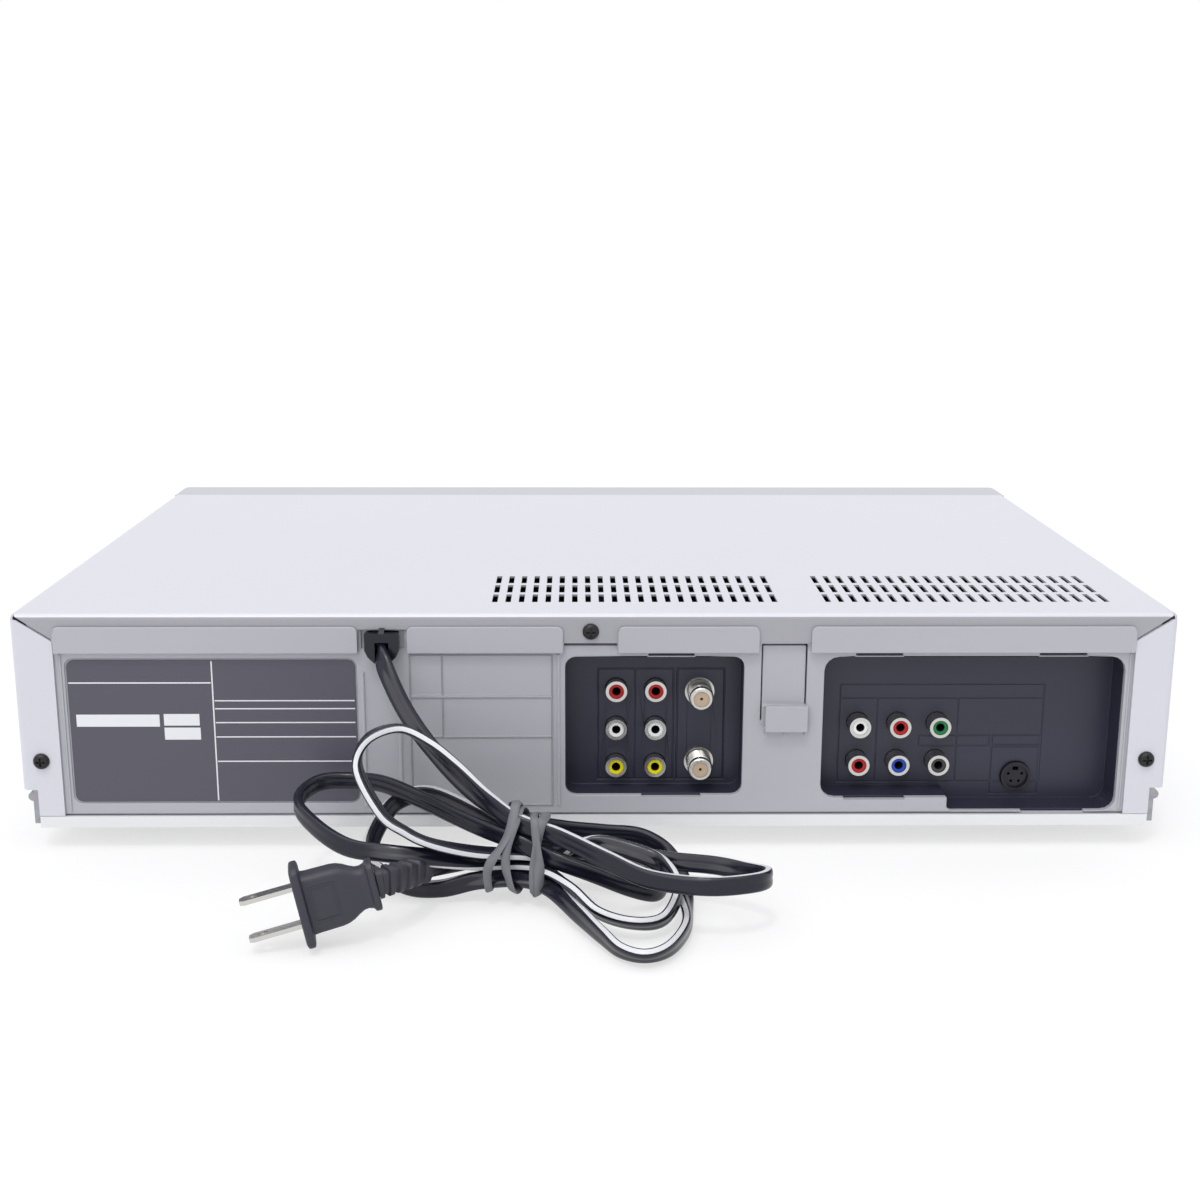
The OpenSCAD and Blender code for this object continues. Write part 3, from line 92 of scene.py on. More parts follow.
def prism(points, y0, y1):
    """Points and faces of a flat mark with the given (x, z) outline, which turns left from the front."""
    n = len(points)
    verts = [(x, y, z) for y in (y0, y1) for x, z in points]
    faces = [tuple(range(n)), tuple(range(n, 2 * n))[::-1]]
    faces += [(k, k + n, (k + 1) % n + n, (k + 1) % n) for k in range(n)]
    return verts, faces


def skin(rings):
    """Points and faces of a tube through rings of the same number of points, closed at its ends."""
    n = len(rings[0])
    verts = [p for ring in rings for p in ring]
    faces = []
    for a in range(0, len(verts) - n, n):
        b = a + n
        faces += [(a + k, a + (k + 1) % n, b + (k + 1) % n, b + k) for k in range(n)]
    faces.append(tuple(range(n))[::-1])
    faces.append(tuple(range(len(verts) - n, len(verts))))
    return verts, faces


def spline(points, steps):
    """Points of a smooth curve through the given ones, whatever their number of values."""
    ends = [[2 * a - b for a, b in zip(points[0], points[1])],
            [2 * a - b for a, b in zip(points[-1], points[-2])]]
    pts = [ends[0]] + [list(p) for p in points] + [ends[1]]
    out = []
    for i in range(1, len(pts) - 2):
        p0, p1, p2, p3 = pts[i - 1:i + 3]
        for k in range(steps):
            t = k / steps
            out.append([0.5 * (2 * b + (c - a) * t + (2 * a - 5 * b + 4 * c - d) * t * t
                               + (3 * b - a - 3 * c + d) * t ** 3)
                        for a, b, c, d in zip(p0, p1, p2, p3)])
    out.append(list(points[-1]))
    return out


# ---------------------------------------------------------------- materials
DRIFT_SCALE = 14.0      # slow change of colour, waves a metre
DRIFT_DETAIL = 2.0
GRAIN_DETAIL = 3.0
BUMP_DEPTH = 0.0002     # height of the grain, m
SPOT_SCALE = 1.6        # metal flakes, times as fine as the grain
SPOT_SATURATION = 0.85
LEAST_ROUGH = 0.02


def surface(name, color, rough, metal=0.0, grain=900.0, tint=0.05, bump=0.06, spots=0.0,
            streak=None, spec=0.5, rough_span=0.12):
    """A moulded, painted or metal surface: colour drifts slowly, fine grain gives
    bump and roughness. Lengths are in metres, so grain is in waves a metre."""
    mat = bpy.data.materials.new(name)
    mat.use_nodes = True
    shader = mat.node_tree.nodes["Principled BSDF"]
    add, link = mat.node_tree.nodes.new, mat.node_tree.links.new
    coord = add("ShaderNodeTexCoord")
    source = coord.outputs["Object"]
    if streak:
        mapping = add("ShaderNodeMapping")
        mapping.inputs["Scale"].default_value = streak
        link(source, mapping.inputs["Vector"])
        source = mapping.outputs["Vector"]
    fine = add("ShaderNodeTexNoise")
    fine.inputs["Scale"].default_value = grain
    fine.inputs["Detail"].default_value = GRAIN_DETAIL
    link(source, fine.inputs["Vector"])
    broad = add("ShaderNodeTexNoise")
    broad.inputs["Scale"].default_value = DRIFT_SCALE
    broad.inputs["Detail"].default_value = DRIFT_DETAIL
    link(coord.outputs["Object"], broad.inputs["Vector"])
    blend = add("ShaderNodeMixRGB")
    blend.blend_type = "MIX"
    blend.inputs["Color1"].default_value = [max(0.0, c * (1 - tint)) for c in color] + [1]
    blend.inputs["Color2"].default_value = [min(1.0, c * (1 + tint)) for c in color] + [1]
    link(broad.outputs["Fac"], blend.inputs["Fac"])
    colour = blend.outputs["Color"]
    if spots:
        flake = add("ShaderNodeTexVoronoi")
        flake.inputs["Scale"].default_value = grain * SPOT_SCALE
        link(source, flake.inputs["Vector"])
        shade = add("ShaderNodeMixRGB")
        shade.blend_type = "OVERLAY"
        shade.inputs["Fac"].default_value = spots
        link(colour, shade.inputs["Color1"])
        link(flake.outputs["Color"], shade.inputs["Color2"])
        grey = add("ShaderNodeHueSaturation")
        grey.inputs["Saturation"].default_value = SPOT_SATURATION
        link(shade.outputs["Color"], grey.inputs["Color"])
        colour = grey.outputs["Color"]
    link(colour, shader.inputs["Base Color"])
    span = add("ShaderNodeMapRange")
    span.inputs["To Min"].default_value = max(LEAST_ROUGH, rough - rough_span / 2)
    span.inputs["To Max"].default_value = min(1.0, rough + rough_span / 2)
    link(fine.outputs["Fac"], span.inputs["Value"])
    link(span.outputs["Result"], shader.inputs["Roughness"])
    relief = add("ShaderNodeBump")
    relief.inputs["Strength"].default_value = bump
    relief.inputs["Distance"].default_value = BUMP_DEPTH
    link(fine.outputs["Fac"], relief.inputs["Height"])
    link(relief.outputs["Normal"], shader.inputs["Normal"])
    shader.inputs["Metallic"].default_value = metal
    shader.inputs["Specular IOR Level"].default_value = spec
    return mat


LOOKS = {
    "cover": surface("cover_paint", (0.655, 0.652, 0.715), 0.42, metal=0.12, grain=2600, tint=0.012,
                     bump=0.05, spots=0.05, spec=0.4),
    # Darker copy of the cover paint for the rear flange: painted shade, as the flange is the same painted
    # sheet as the top
    "flange": surface("flange_painted_shade", (0.378, 0.373, 0.407), 0.42, metal=0.12, grain=2600, tint=0.02,
                      bump=0.05, spots=0.05, spec=0.4),
    "panel": surface("grey_plastic", (0.455, 0.455, 0.49), 0.55, grain=2400, tint=0.02, bump=0.12,
                     spec=0.35),
    "bezel": surface("bezel_plastic", (0.50, 0.50, 0.545), 0.38, metal=0.15, grain=2600, tint=0.02,
                     bump=0.04, spots=0.05),
    "button": surface("button_plastic", (0.38, 0.38, 0.425), 0.3, metal=0.2, grain=2200, tint=0.02,
                      bump=0.03),
    "plate": surface("zinc_plate", (0.80, 0.80, 0.81), 0.36, metal=0.2, grain=700, tint=0.05,
                     bump=0.05, streak=(1, 8, 1)),
    "sheet": surface("galvanised_sheet", (0.36, 0.36, 0.39), 0.36, metal=0.8, grain=420, tint=0.10,
                     bump=0.05, spots=0.12, streak=(1, 5, 1)),
    "black": surface("black_plastic", (0.027, 0.027, 0.050), 0.42, grain=1800, tint=0.08, bump=0.08),
    "dark": surface("dark_plastic", (0.035, 0.035, 0.045), 0.5, grain=1500, tint=0.08, bump=0.1),
    "nickel": surface("nickel_plate", (0.60, 0.59, 0.56), 0.2, metal=1.0, grain=1600, tint=0.04,
                      bump=0.03, rough_span=0.1),
    "red": surface("red_plastic", (0.47, 0.008, 0.012), 0.3, grain=1500, tint=0.06, bump=0.04, spec=0.3),
    "white": surface("white_plastic", (0.88, 0.88, 0.88), 0.32, grain=1500, tint=0.03, bump=0.04),
    "yellow": surface("yellow_plastic", (0.88, 0.77, 0.004), 0.3, grain=1500, tint=0.05, bump=0.04,
                      spec=0.3),
    "green": surface("green_plastic", (0.006, 0.20, 0.06), 0.3, grain=1500, tint=0.06, bump=0.04, spec=0.3),
    "blue": surface("blue_plastic", (0.006, 0.06, 0.45), 0.3, grain=1500, tint=0.06, bump=0.04, spec=0.3),
    "tan": surface("tan_insulator", (0.50, 0.38, 0.27), 0.5, grain=1200, tint=0.08, bump=0.08),
    "label": surface("label_film", (0.085, 0.080, 0.108), 0.4, grain=900, tint=0.05, bump=0.03),
    "print": surface("white_print", (0.80, 0.80, 0.82), 0.45, grain=900, tint=0.02, bump=0.02),
    "grey_print": surface("grey_print", (0.10, 0.10, 0.12), 0.5, grain=900, tint=0.05, bump=0.02),
    "hole": surface("socket_shadow", (0.012, 0.012, 0.014), 0.5, grain=1500, tint=0.1, bump=0.05),
    "screw": surface("black_screw", (0.022, 0.021, 0.022), 0.3, metal=0.35, grain=1400, tint=0.1,
                     bump=0.1, spec=0.4),
    "socket": surface("socket_black", (0.012, 0.012, 0.020), 0.2, grain=1800, tint=0.08, bump=0.03,
                      spec=0.35),
    "foot": surface("foot_rubber", (0.03, 0.03, 0.032), 0.7, grain=900, tint=0.1, bump=0.2),
    "board": surface("board_green", (0.02, 0.16, 0.06), 0.32, grain=500, tint=0.15, bump=0.05, spots=0.2),
    "brown_board": surface("board_brown", (0.28, 0.16, 0.06), 0.5, grain=500, tint=0.12, bump=0.06,
                           spots=0.2),
    "component": surface("component_black", (0.03, 0.03, 0.034), 0.4, grain=700, tint=0.1, bump=0.08),
    "window": surface("smoked_window", (0.008, 0.008, 0.011), 0.08, grain=300, tint=0.05, bump=0.01,
                      spec=0.3, rough_span=0.03),
    "steel": surface("machined_steel", (0.66, 0.66, 0.68), 0.26, metal=1.0, grain=500, tint=0.05,
                     bump=0.05, streak=(6, 1, 1)),
    "aluminium": surface("machined_aluminium", (0.74, 0.75, 0.77), 0.24, metal=1.0, grain=600, tint=0.04,
                         bump=0.05, streak=(1, 1, 9)),
    "brass": surface("capstan_brass", (0.62, 0.45, 0.18), 0.28, metal=1.0, grain=600, tint=0.06,
                     bump=0.05, streak=(1, 1, 7)),
    "rubber": surface("roller_rubber", (0.02, 0.02, 0.02), 0.75, grain=1100, tint=0.1, bump=0.15),
    "cord": surface("cord_vinyl", (0.010, 0.010, 0.021), 0.22, grain=320, tint=0.12, bump=0.03,
                    spec=0.4, rough_span=0.08),
    "stripe": surface("cord_stripe", (0.72, 0.72, 0.75), 0.4, grain=420, tint=0.06, bump=0.06),
    "plug": surface("plug_vinyl", (0.030, 0.029, 0.042), 0.5, grain=1300, tint=0.10, bump=0.12),
    "tie": surface("tie_rubber", (0.165, 0.165, 0.185), 0.6, grain=900, tint=0.22, bump=0.35,
                   streak=(1, 1, 3)),
    "floor": surface("floor_paper", (0.96, 0.96, 0.96), 0.7, grain=60, tint=0.004, bump=0.0,
                     spec=0.2),
}


def seen_or_mirrored(tree):
    """1 on rays from the camera, and on those that a mirror or glass sends on."""
    ray = tree.nodes.new("ShaderNodeLightPath")
    result = ray.outputs["Is Camera Ray"]
    for kind in ("Is Glossy Ray", "Is Transmission Ray"):
        either = tree.nodes.new("ShaderNodeMath")
        either.operation = "MAXIMUM"
        tree.links.new(result, either.inputs[0])
        tree.links.new(ray.outputs[kind], either.inputs[1])
        result = either.outputs[0]
    return result


def lighten(mat, share):
    """A share of the surface shows as plain white, which leaves only a faint shadow on it."""
    add, link = mat.node_tree.nodes.new, mat.node_tree.links.new
    white = add("ShaderNodeEmission")
    white.inputs["Color"].default_value = (1, 1, 1, 1)
    white.inputs["Strength"].default_value = 1.0
    part = add("ShaderNodeMath")
    part.operation = "MULTIPLY"
    part.inputs[1].default_value = share
    link(seen_or_mirrored(mat.node_tree), part.inputs[0])
    both = add("ShaderNodeMixShader")
    link(part.outputs[0], both.inputs["Fac"])
    link(mat.node_tree.nodes["Principled BSDF"].outputs["BSDF"], both.inputs[1])
    link(white.outputs["Emission"], both.inputs[2])
    link(both.outputs["Shader"], mat.node_tree.nodes["Material Output"].inputs["Surface"])


FLOOR_WHITE_SHARE = 0.6
lighten(LOOKS["floor"], FLOOR_WHITE_SHARE)


def dress(obj, *keys):
    """Gives a piece its looks in place of any that it has."""
    obj.data.materials.clear()
    for key in keys:
        obj.data.materials.append(LOOKS[key])


# ---------------------------------------------------------------- power cord
# x, y, z in millimetres, then the lean of the white edge and its turn towards +X in degrees
ROUTE = [
    [79, 134, 78, 180], [79, 143, 78, 180, 10], [76, 150, 72, 170, 50], [69, 157, 60, 165, 55],
    [59, 164, 48, 160, 50], [44, 173, 35, 160, 25], [28, 179, 27, 175], [13, 175, 22, 180],
    [-2, 174, 20, 180], [-15, 175, 19, 180, 10], [-24, 179, 15, 180, 45], [-29, 188, 9, 0, 85],
    [-30, 203, 5, 0, 30], [-29, 218, 4, 5], [-23, 233, 4, 30], [-15, 239, 4, 40],
    [-7, 235, 4, 35], [-1, 226, 5, 15], [7, 211, 6, -20], [17, 194, 8, -50],
    [28, 189, 9, -65], [42, 188, 8, -25], [55, 188, 5, 5], [67, 184, 4, 10],
    [77, 179, 8, 10, 20], [81, 174, 14, 0, 40], [79, 162, 19, 0, 40], [73, 152, 24, 0, 30],
    [60, 151, 26, 0, 15], [40, 168, 23, 0], [28, 178, 19, -20], [12, 179, 16, -30],
    [-6, 182, 16, -30], [-23, 187, 15, -30], [-40, 194, 16, -30], [-50, 199, 16, -20],
    [-57, 208, 18, -5], [-52, 218, 20, -10], [-36, 221, 20, -10], [-17, 215, 20, -10],
    [-3, 206, 23, -8], [13, 193, 26, 0], [28, 186, 29, 0], [39, 182, 36, 5],
    [49, 177, 45, 25], [59, 173, 53, 50], [70, 170, 58, 75], [81, 173, 55, 90],
    [84, 178, 46, 92], [75, 188, 33, 85], [66, 193, 28, 78], [57, 196, 25, 80],
    [43, 191, 20, 88], [28, 186, 17, 90], [14, 185, 17, 105], [0, 187, 21, -20],
    [-13, 190, 19, -30], [-22, 194, 16, -20], [-27, 205, 12, 5], [-22, 215, 6, 35],
    [-12, 219, 6, 45], [0, 213, 7, 50], [9, 202, 11, 60], [19, 190, 13, 80],
    [28, 185, 13, 92], [42, 186, 14, 112], [57, 194, 19, 138], [72, 195, 21, 148],
    [87, 189, 21, 155], [100, 177, 24, 170], [108, 164, 28, 180], [102, 152, 31, 180],
    [88, 150, 31, 180], [74, 157, 31, 180], [44, 178, 25, 180], [28, 187, 22, 180],
    [15, 191, 17, 180], [2, 196, 14, 180], [-11, 199, 10, 180], [-20, 194, 6, 180],
    [-23, 184, 6, 180], [-17, 174, 8, 180], [-4, 171, 8, 180], [11, 174, 9, 180],
    [28, 178, 11, 180], [41, 178, 12, 180], [50, 182, 12, 180], [59, 189, 13, 180],
]
CORD_STEPS = 7
# Half of the cord's section: across its width, and across its thickness
CORD_SIDE = [(3.2, 0.45), (3.12, 0.82), (2.85, 1.25), (2.3, 1.52), (1.6, 1.6), (0.9, 1.58), (0.35, 1.5),
             (0, 1.47), (-0.35, 1.5), (-0.9, 1.58), (-1.6, 1.6), (-2.3, 1.52), (-2.85, 1.25), (-3.12, 0.82),
             (-3.2, 0.45)]
CORD_SECTION = CORD_SIDE + [(u, -v) for u, v in reversed(CORD_SIDE)]
# Sides of the section that are white: its round edge at +u
STRIPE_SIDES = (0, len(CORD_SECTION) - 2, len(CORD_SECTION) - 1)


def cord_frames():
    """Centre, width direction and thickness direction along the cord."""
    rows = spline([p + [0] * (5 - len(p)) for p in ROUTE], CORD_STEPS)
    centres = [Vector(r[:3]) for r in rows]
    out = []
    for i, r in enumerate(rows):
        along = (centres[min(i + 1, len(rows) - 1)] - centres[max(i - 1, 0)]).normalized()
        a, b = radians(r[3]), radians(r[4])
        wide = Vector((sin(b), sin(a) * cos(b), cos(a) * cos(b)))
        wide = (wide - wide.dot(along) * along).normalized()
        out.append((centres[i], wide, along.cross(wide)))
    return out


def make_cord():
    """Flat two-core cord with one white edge, its path in metres and its length."""
    frames = cord_frames()
    rings = [[c + w * u + n * v for u, v in CORD_SECTION] for c, w, n in frames]
    verts, faces = skin(rings)
    sides = len(CORD_SECTION)
    marks = [1 if i % sides in STRIPE_SIDES else 0 for i in range((len(rings) - 1) * sides)] + [0, 0]
    piece = mesh_object("mains_cord", verts, faces, smooth=50)
    dress(piece, "cord", "stripe")
    piece.data.polygons.foreach_set("material_index", marks)
    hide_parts("power_cord")
    path = [c * MM for c, w, n in frames]
    length = sum((b - a).length for a, b in zip(path, path[1:]))
    return piece, path, length


cord_piece, cord_path, cord_length = make_cord()


# ---------------------------------------------------------------- plug
PLUG_FACE = Vector((98.8, 222.9, 14.5))
PLUG_TURN = (9.3, 11.8, 12.5)       # about X, Y and Z, degrees
PLUG_BACK = 26.5                    # length of the moulded body
CORNER_STEPS = 5
plug_turn = (Matrix.Rotation(radians(PLUG_TURN[2]), 3, "Z") @ Matrix.Rotation(radians(PLUG_TURN[1]), 3, "Y")
             @ Matrix.Rotation(radians(PLUG_TURN[0]), 3, "X"))
plug_axis = plug_turn @ Vector((1, 0, 0))


def rounded(half_y, half_z, r):
    """Outline of a rectangle with round corners, as (y, z) pairs."""
    out = []
    for k, (sy, sz) in enumerate(((1, 1), (-1, 1), (-1, -1), (1, -1))):
        for i in range(CORNER_STEPS + 1):
            a = radians(90 * k + 90 * i / CORNER_STEPS)
            out.append((sy * (half_y - r) + r * cos(a), sz * (half_z - r) + r * sin(a)))
    return out


# Distance behind the face, half thickness, half height and corner radius of each section
PLUG_BODY = [
    (0.0, 6.9, 12.5, 2.2), (-0.35, 7.7, 13.3, 2.4), (-0.9, 8.0, 13.6, 2.5), (-2.2, 8.0, 13.6, 2.5),
    (-2.7, 7.8, 13.4, 2.4), (-3.0, 7.2, 12.6, 2.2), (-3.05, 6.0, 10.6, 2.2), (-3.3, 5.65, 10.1, 2.2),
    (-5.0, 5.6, 9.95, 2.2), (-13.0, 5.6, 9.8, 2.2), (-15.0, 5.5, 9.5, 2.2), (-17.0, 5.2, 8.8, 2.3),
    (-19.0, 4.75, 7.7, 2.3), (-20.8, 4.5, 6.9, 2.2), (-22.2, 4.5, 6.8, 2.2), (-23.6, 4.6, 7.2, 2.2),
    (-24.1, 5.0, 7.7, 2.2), (-24.3, 5.4, 8.05, 2.2), (-24.7, 5.6, 8.2, 2.2), (-26.1, 5.6, 8.2, 2.2),
    (-26.4, 5.3, 7.9, 2.2), (-26.5, 4.6, 7.2, 2.0),
]


def placed(points):
    """Points of the plug's own frame, which starts at the middle of its face, in the part's."""
    return [PLUG_FACE + plug_turn @ Vector(p) for p in points]


def plug_ring(x, half_y, half_z, r):
    return placed((x, y, z) for y, z in rounded(half_y, half_z, r))


RELIEF_LEAD = 9         # how far the sleeve runs straight on from the plug, mm
RELIEF_RIBS = 6
RIB_SHARE = 0.5         # part of each rib's pitch that stands proud
RIB_SLOPE = 0.04        # part of the pitch taken by each flank
RIB_HEIGHT = 0.75
RELIEF_THICK = (2.75, 0.7)      # half size at the plug and how much it loses to its end
RELIEF_TALL = (4.25, 0.75)
RELIEF_ROUND = 1.5


def relief_point(t):
    """Middle of the sleeve, from the back of the plug (0) to the end of the cord (1)."""
    p0 = PLUG_FACE - plug_axis * PLUG_BACK
    p1 = p0 - plug_axis * RELIEF_LEAD
    p2 = Vector(ROUTE[-1][:3])
    return (1 - t) ** 2 * p0 + 2 * t * (1 - t) * p1 + t * t * p2


def relief_rings():
    """Ribbed sleeve from the back of the plug to the cord, a loft along its bend."""
    rings = []
    for i in range(RELIEF_RIBS):
        for low, high, size in ((0.0, RIB_SHARE, 1.0), (RIB_SHARE, 1.0, 0.0)):
            for t in ((i + low + RIB_SLOPE) / RELIEF_RIBS, (i + high - RIB_SLOPE) / RELIEF_RIBS):
                centre = relief_point(t)
                along = relief_point(min(1, t + 0.02)) - relief_point(max(0, t - 0.02))
                along.normalize()
                up = Vector((0, 0, 1))
                up = (up - up.dot(along) * along).normalized()
                out = along.cross(up)
                half_z = RELIEF_TALL[0] - RELIEF_TALL[1] * t + RIB_HEIGHT * size
                half_y = RELIEF_THICK[0] - RELIEF_THICK[1] * t + RIB_HEIGHT * size
                rings.append([centre + out * y + up * z
                              for y, z in rounded(half_y, half_z, RELIEF_ROUND)])
    return rings


# Bars of the plain frame on each broad side, as low x, high x, low z and high z
FRAME_BARS = [(-13.2, -12.6, -6, 6), (-5.4, -4.8, -6, 6), (-12.6, -5.4, 5.4, 6), (-12.6, -5.4, -6, -5.4)]
FRAME_FOOT, FRAME_TOP = 5.4, 5.85       # its depth in the plug and its height, from the middle


def make_plug():
    """Flat moulded plug with a rim round its face, a plain frame on each broad side and its sleeve."""
    parts = [skin([plug_ring(*section) for section in PLUG_BODY]), skin(relief_rings())]
    for way in (1, -1):
        low, high = sorted((way * FRAME_FOOT, way * FRAME_TOP))
        for x0, x1, z0, z1 in FRAME_BARS:
            points, sides = box((x0, low, z0), (x1, high, z1))
            parts.append((placed(points), sides))
    piece = mesh_object("moulded_plug", *joined(parts), smooth=38)
    dress(piece, "plug")
    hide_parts("plug_body")
    return piece


plug_piece = make_plug()


# ---------------------------------------------------------------- tie
TIE_MIDDLE = (184, 17)      # y and z of the middle of the bundle that it goes round
# Outline of the bundle under the tie's two ends, as (y, z) about its middle
TIE_RIGHT = [(-9, -10.2), (-9.2, 0), (-9, 10.8), (-7.8, 11.8), (2.4, 14.2), (6.8, 14.2),
             (7.8, 13.2), (10.3, -8.4), (8.8, -11.6), (7.8, -11.8)]
TIE_LEFT = [(-7.8, -10), (-13.2, 1.8), (-12.5, 7.8), (-9.8, 16.9), (-2.2, 21.6), (1, 21.7),
            (2.7, 17), (7.4, 2.2), (8.9, -8.4), (7.4, -11.8)]
TIE_BLEND = (23, 9)         # x at which the left outline begins to tell, and over how much, mm


def reach(outline, angle):
    """Distance from the middle to an outline in one direction."""
    dy, dz = cos(angle), sin(angle)
    best = 0.0
    for (ay, az), (by, bz) in zip(outline, outline[1:] + outline[:1]):
        ey, ez = by - ay, bz - az
        det = dz * ey - dy * ez
        if abs(det) < 1e-9:
            continue
        r = (az * ey - ay * ez) / det
        s = (dy * az - dz * ay) / det
        if r > 0 and -1e-6 <= s <= 1 + 1e-6:
            best = max(best, r)
    return best


# Turns of the tie from the top, its place along the bundle and its lift off it.
# A quarter turn is the back, a half the underside, three quarters the front.
TIE_WINDING = [
    (0, 28, -0.8), (0.25, 33, 0.2), (0.5, 36.5, -1.2), (0.62, 38, 0.2), (0.72, 38, 1.6), (0.85, 33.4, 0.6),
    (1, 28.6, -0.5), (1.25, 27, 0.3), (1.5, 26.4, -1.2), (1.62, 30, 0.4), (1.72, 32, 0.9), (1.86, 31, 0.6),
    (2, 27.0, -0.9), (2.25, 24, 0.4), (2.5, 20.2, -0.9), (2.62, 22.4, 0.4), (2.75, 22.2, 0.6),
    (2.88, 20.6, 0.5), (3, 18.2, -0.7), (3.25, 20, 0.6), (3.5, 22.6, -0.7), (3.62, 20.6, 0.9),
    (3.75, 20.4, 1.1), (3.88, 21.6, 1.0), (4, 22.4, -0.6), (4.12, 22, -0.8),
]
TIE_STEPS = 14
TIE_INSET = 0.35            # from the bundle to the middle of the band
# Section of the band: across its width, and across its thickness
TIE_SECTION = [(1.65, 0), (1.3, 0.38), (0, 0.46), (-1.3, 0.38), (-1.65, 0), (-1.3, -0.38), (0, -0.46),
               (1.3, -0.38)]
# Twist of the band: size in radians, waves a turn and start of each of its waves
TIE_TWIST = [(0.55, 1.31, 0.6), (0.3, 2.7, 0)]
TWIST_AT_FRONT = 0.15       # share of the twist on the side towards the player
TIE_WIDTH = (0.95, 0.15, 9)     # mean share of the section's width, its change and radians a turn


def tie_path():
    """Middle of the band and its way round the bundle, at each step of the winding."""
    turns = spline(TIE_WINDING, TIE_STEPS)
    centres, angles = [], []
    for t, x, lift in turns:
        angle = 2 * pi * t + pi / 2
        share = min(1, max(0, (x - TIE_BLEND[0]) / TIE_BLEND[1]))
        r = reach(TIE_RIGHT, angle) * (1 - share) + reach(TIE_LEFT, angle) * share + TIE_INSET + lift
        centres.append(Vector((x, TIE_MIDDLE[0] + r * cos(angle), TIE_MIDDLE[1] + r * sin(angle))))
        angles.append(angle)
    for _ in range(3):
        inner = [(a + 2 * b + c) / 4 for a, b, c in zip(centres, centres[1:], centres[2:])]
        centres = [centres[0]] + inner + [centres[-1]]
    return centres, angles, [t for t, x, lift in turns]


def make_tie():
    """One flat rubber band, twisted as it winds round the bundle and crosses itself."""
    centres, angles, turns = tie_path()
    rings = []
    for i, (centre, a, t) in enumerate(zip(centres, angles, turns)):
        along = (centres[min(i + 1, len(centres) - 1)] - centres[max(i - 1, 0)]).normalized()
        out = Vector((0, cos(a), sin(a)))
        out = (out - out.dot(along) * along).normalized()
        side = along.cross(out)
        rear = max(0, cos(a))
        twist = (TWIST_AT_FRONT + (1 - TWIST_AT_FRONT) * rear) * sum(
            size * sin(2 * pi * t * waves + start) for size, waves, start in TIE_TWIST)
        width = TIE_WIDTH[0] + TIE_WIDTH[1] * sin(TIE_WIDTH[2] * t)
        wide = (side * cos(twist) + out * sin(twist)) * width
        thick = out * cos(twist) - side * sin(twist)
        rings.append([centre + wide * u + thick * v for u, v in TIE_SECTION])
    piece = mesh_object("band_tie", *skin(rings), smooth=60)
    dress(piece, "tie")
    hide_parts("cord_tie")
    return piece


tie_piece = make_tie()


# ---------------------------------------------------------------- CAD nodes
FINISH = {
    "cover": "top_cover", "panel": "rear_panel", "plate": "bottom_plate",
    "bezel": "front_bezel tray_front cassette_door",
    "button": "power_button open_button eject_button rewind_button play_button stop_button forward_button",
    "sheet": "chassis_frame tuner_can clamp_bridge deck_plate carriage_frame cassette_basket pinch_arm",
    "black": "vcr_jack_panel dvd_jack_panel", "socket": "svideo_socket cord_gland",
    "dark": "loader_frame disc_tray turntable disc_clamp pickup_sled",
    "nickel": "jack_shells antenna_terminals plug_prongs",
    "red": "red_inserts", "white": "white_inserts tray_gear supply_reel takeup_reel",
    "yellow": "yellow_inserts", "tan": "antenna_insulators", "label": "rating_plate",
    "screw": "case_screws", "foot": "feet", "board": "main_board dvd_board front_board",
    "brown_board": "power_board", "component": "power_parts", "window": "display_window",
    "steel": "sled_rails feed_screw traverse", "aluminium": "lower_drum upper_drum",
    "brass": "capstan", "rubber": "pinch_roller", "cord": "power_cord", "plug": "plug_body",
    "tie": "cord_tie", "green": "component_inserts",
}
for key, names in FINISH.items():
    for name in names.split():
        dress(nodes[name], key)


def second_finish(name, key, chosen):
    """Another finish for those faces of a CAD piece that chosen picks, by the face and its points."""
    obj = nodes[name]
    obj.data.materials.append(LOOKS[key])
    last = len(obj.data.materials) - 1
    for face in obj.data.polygons:
        if chosen(face, [obj.data.vertices[i].co / MM for i in face.vertices]):
            face.material_index = last


# Middles of the phono sockets as (x, z): tape side, disc side and front
SOCKETS = [(x, z) for x in (-7.6, -22.5) for z in (59.4, 44.3, 29.4)]
SOCKETS += [(x, z) for x in (-100.3, -115.6, -130.8) for z in (45.2, 30.1)]
SOCKETS += [(x, 20) for x in (150, 166, 182)]
PIN_HOLE_R = 1.75           # radius of a core's hole, with 0.1 mm to spare
LOWER_ROW_TOP = 38          # between the two rows of the component sockets, mm
BLUE_SIDE = -123            # between the blue and the black core of the lower row, mm
FLANGE_FOOT = 79            # above it the rear faces are flange
FLANGE_HALF = 213.5         # beyond it they are the ends of the side walls


def in_pin_hole(face, points):
    return any(all((p.x - x) ** 2 + (p.z - z) ** 2 < PIN_HOLE_R ** 2 for p in points) for x, z in SOCKETS)


def on_blue_core(face, points):
    return points[0].z < LOWER_ROW_TOP and points[0].x > BLUE_SIDE


def on_black_core(face, points):
    return points[0].z < LOWER_ROW_TOP and points[0].x < BLUE_SIDE


def on_flange(face, points):
    return (face.normal.y > 0.9 and min(p.z for p in points) > FLANGE_FOOT
            and max(abs(p.x) for p in points) < FLANGE_HALF)


second_finish("component_inserts", "blue", on_blue_core)
second_finish("component_inserts", "dark", on_black_core)
for name in ("red_inserts", "white_inserts", "yellow_inserts", "component_inserts"):
    second_finish(name, "hole", in_pin_hole)
# The cover's rear flange faces take the darker copy of its paint, which is painted shade
second_finish("top_cover", "flange", on_flange)

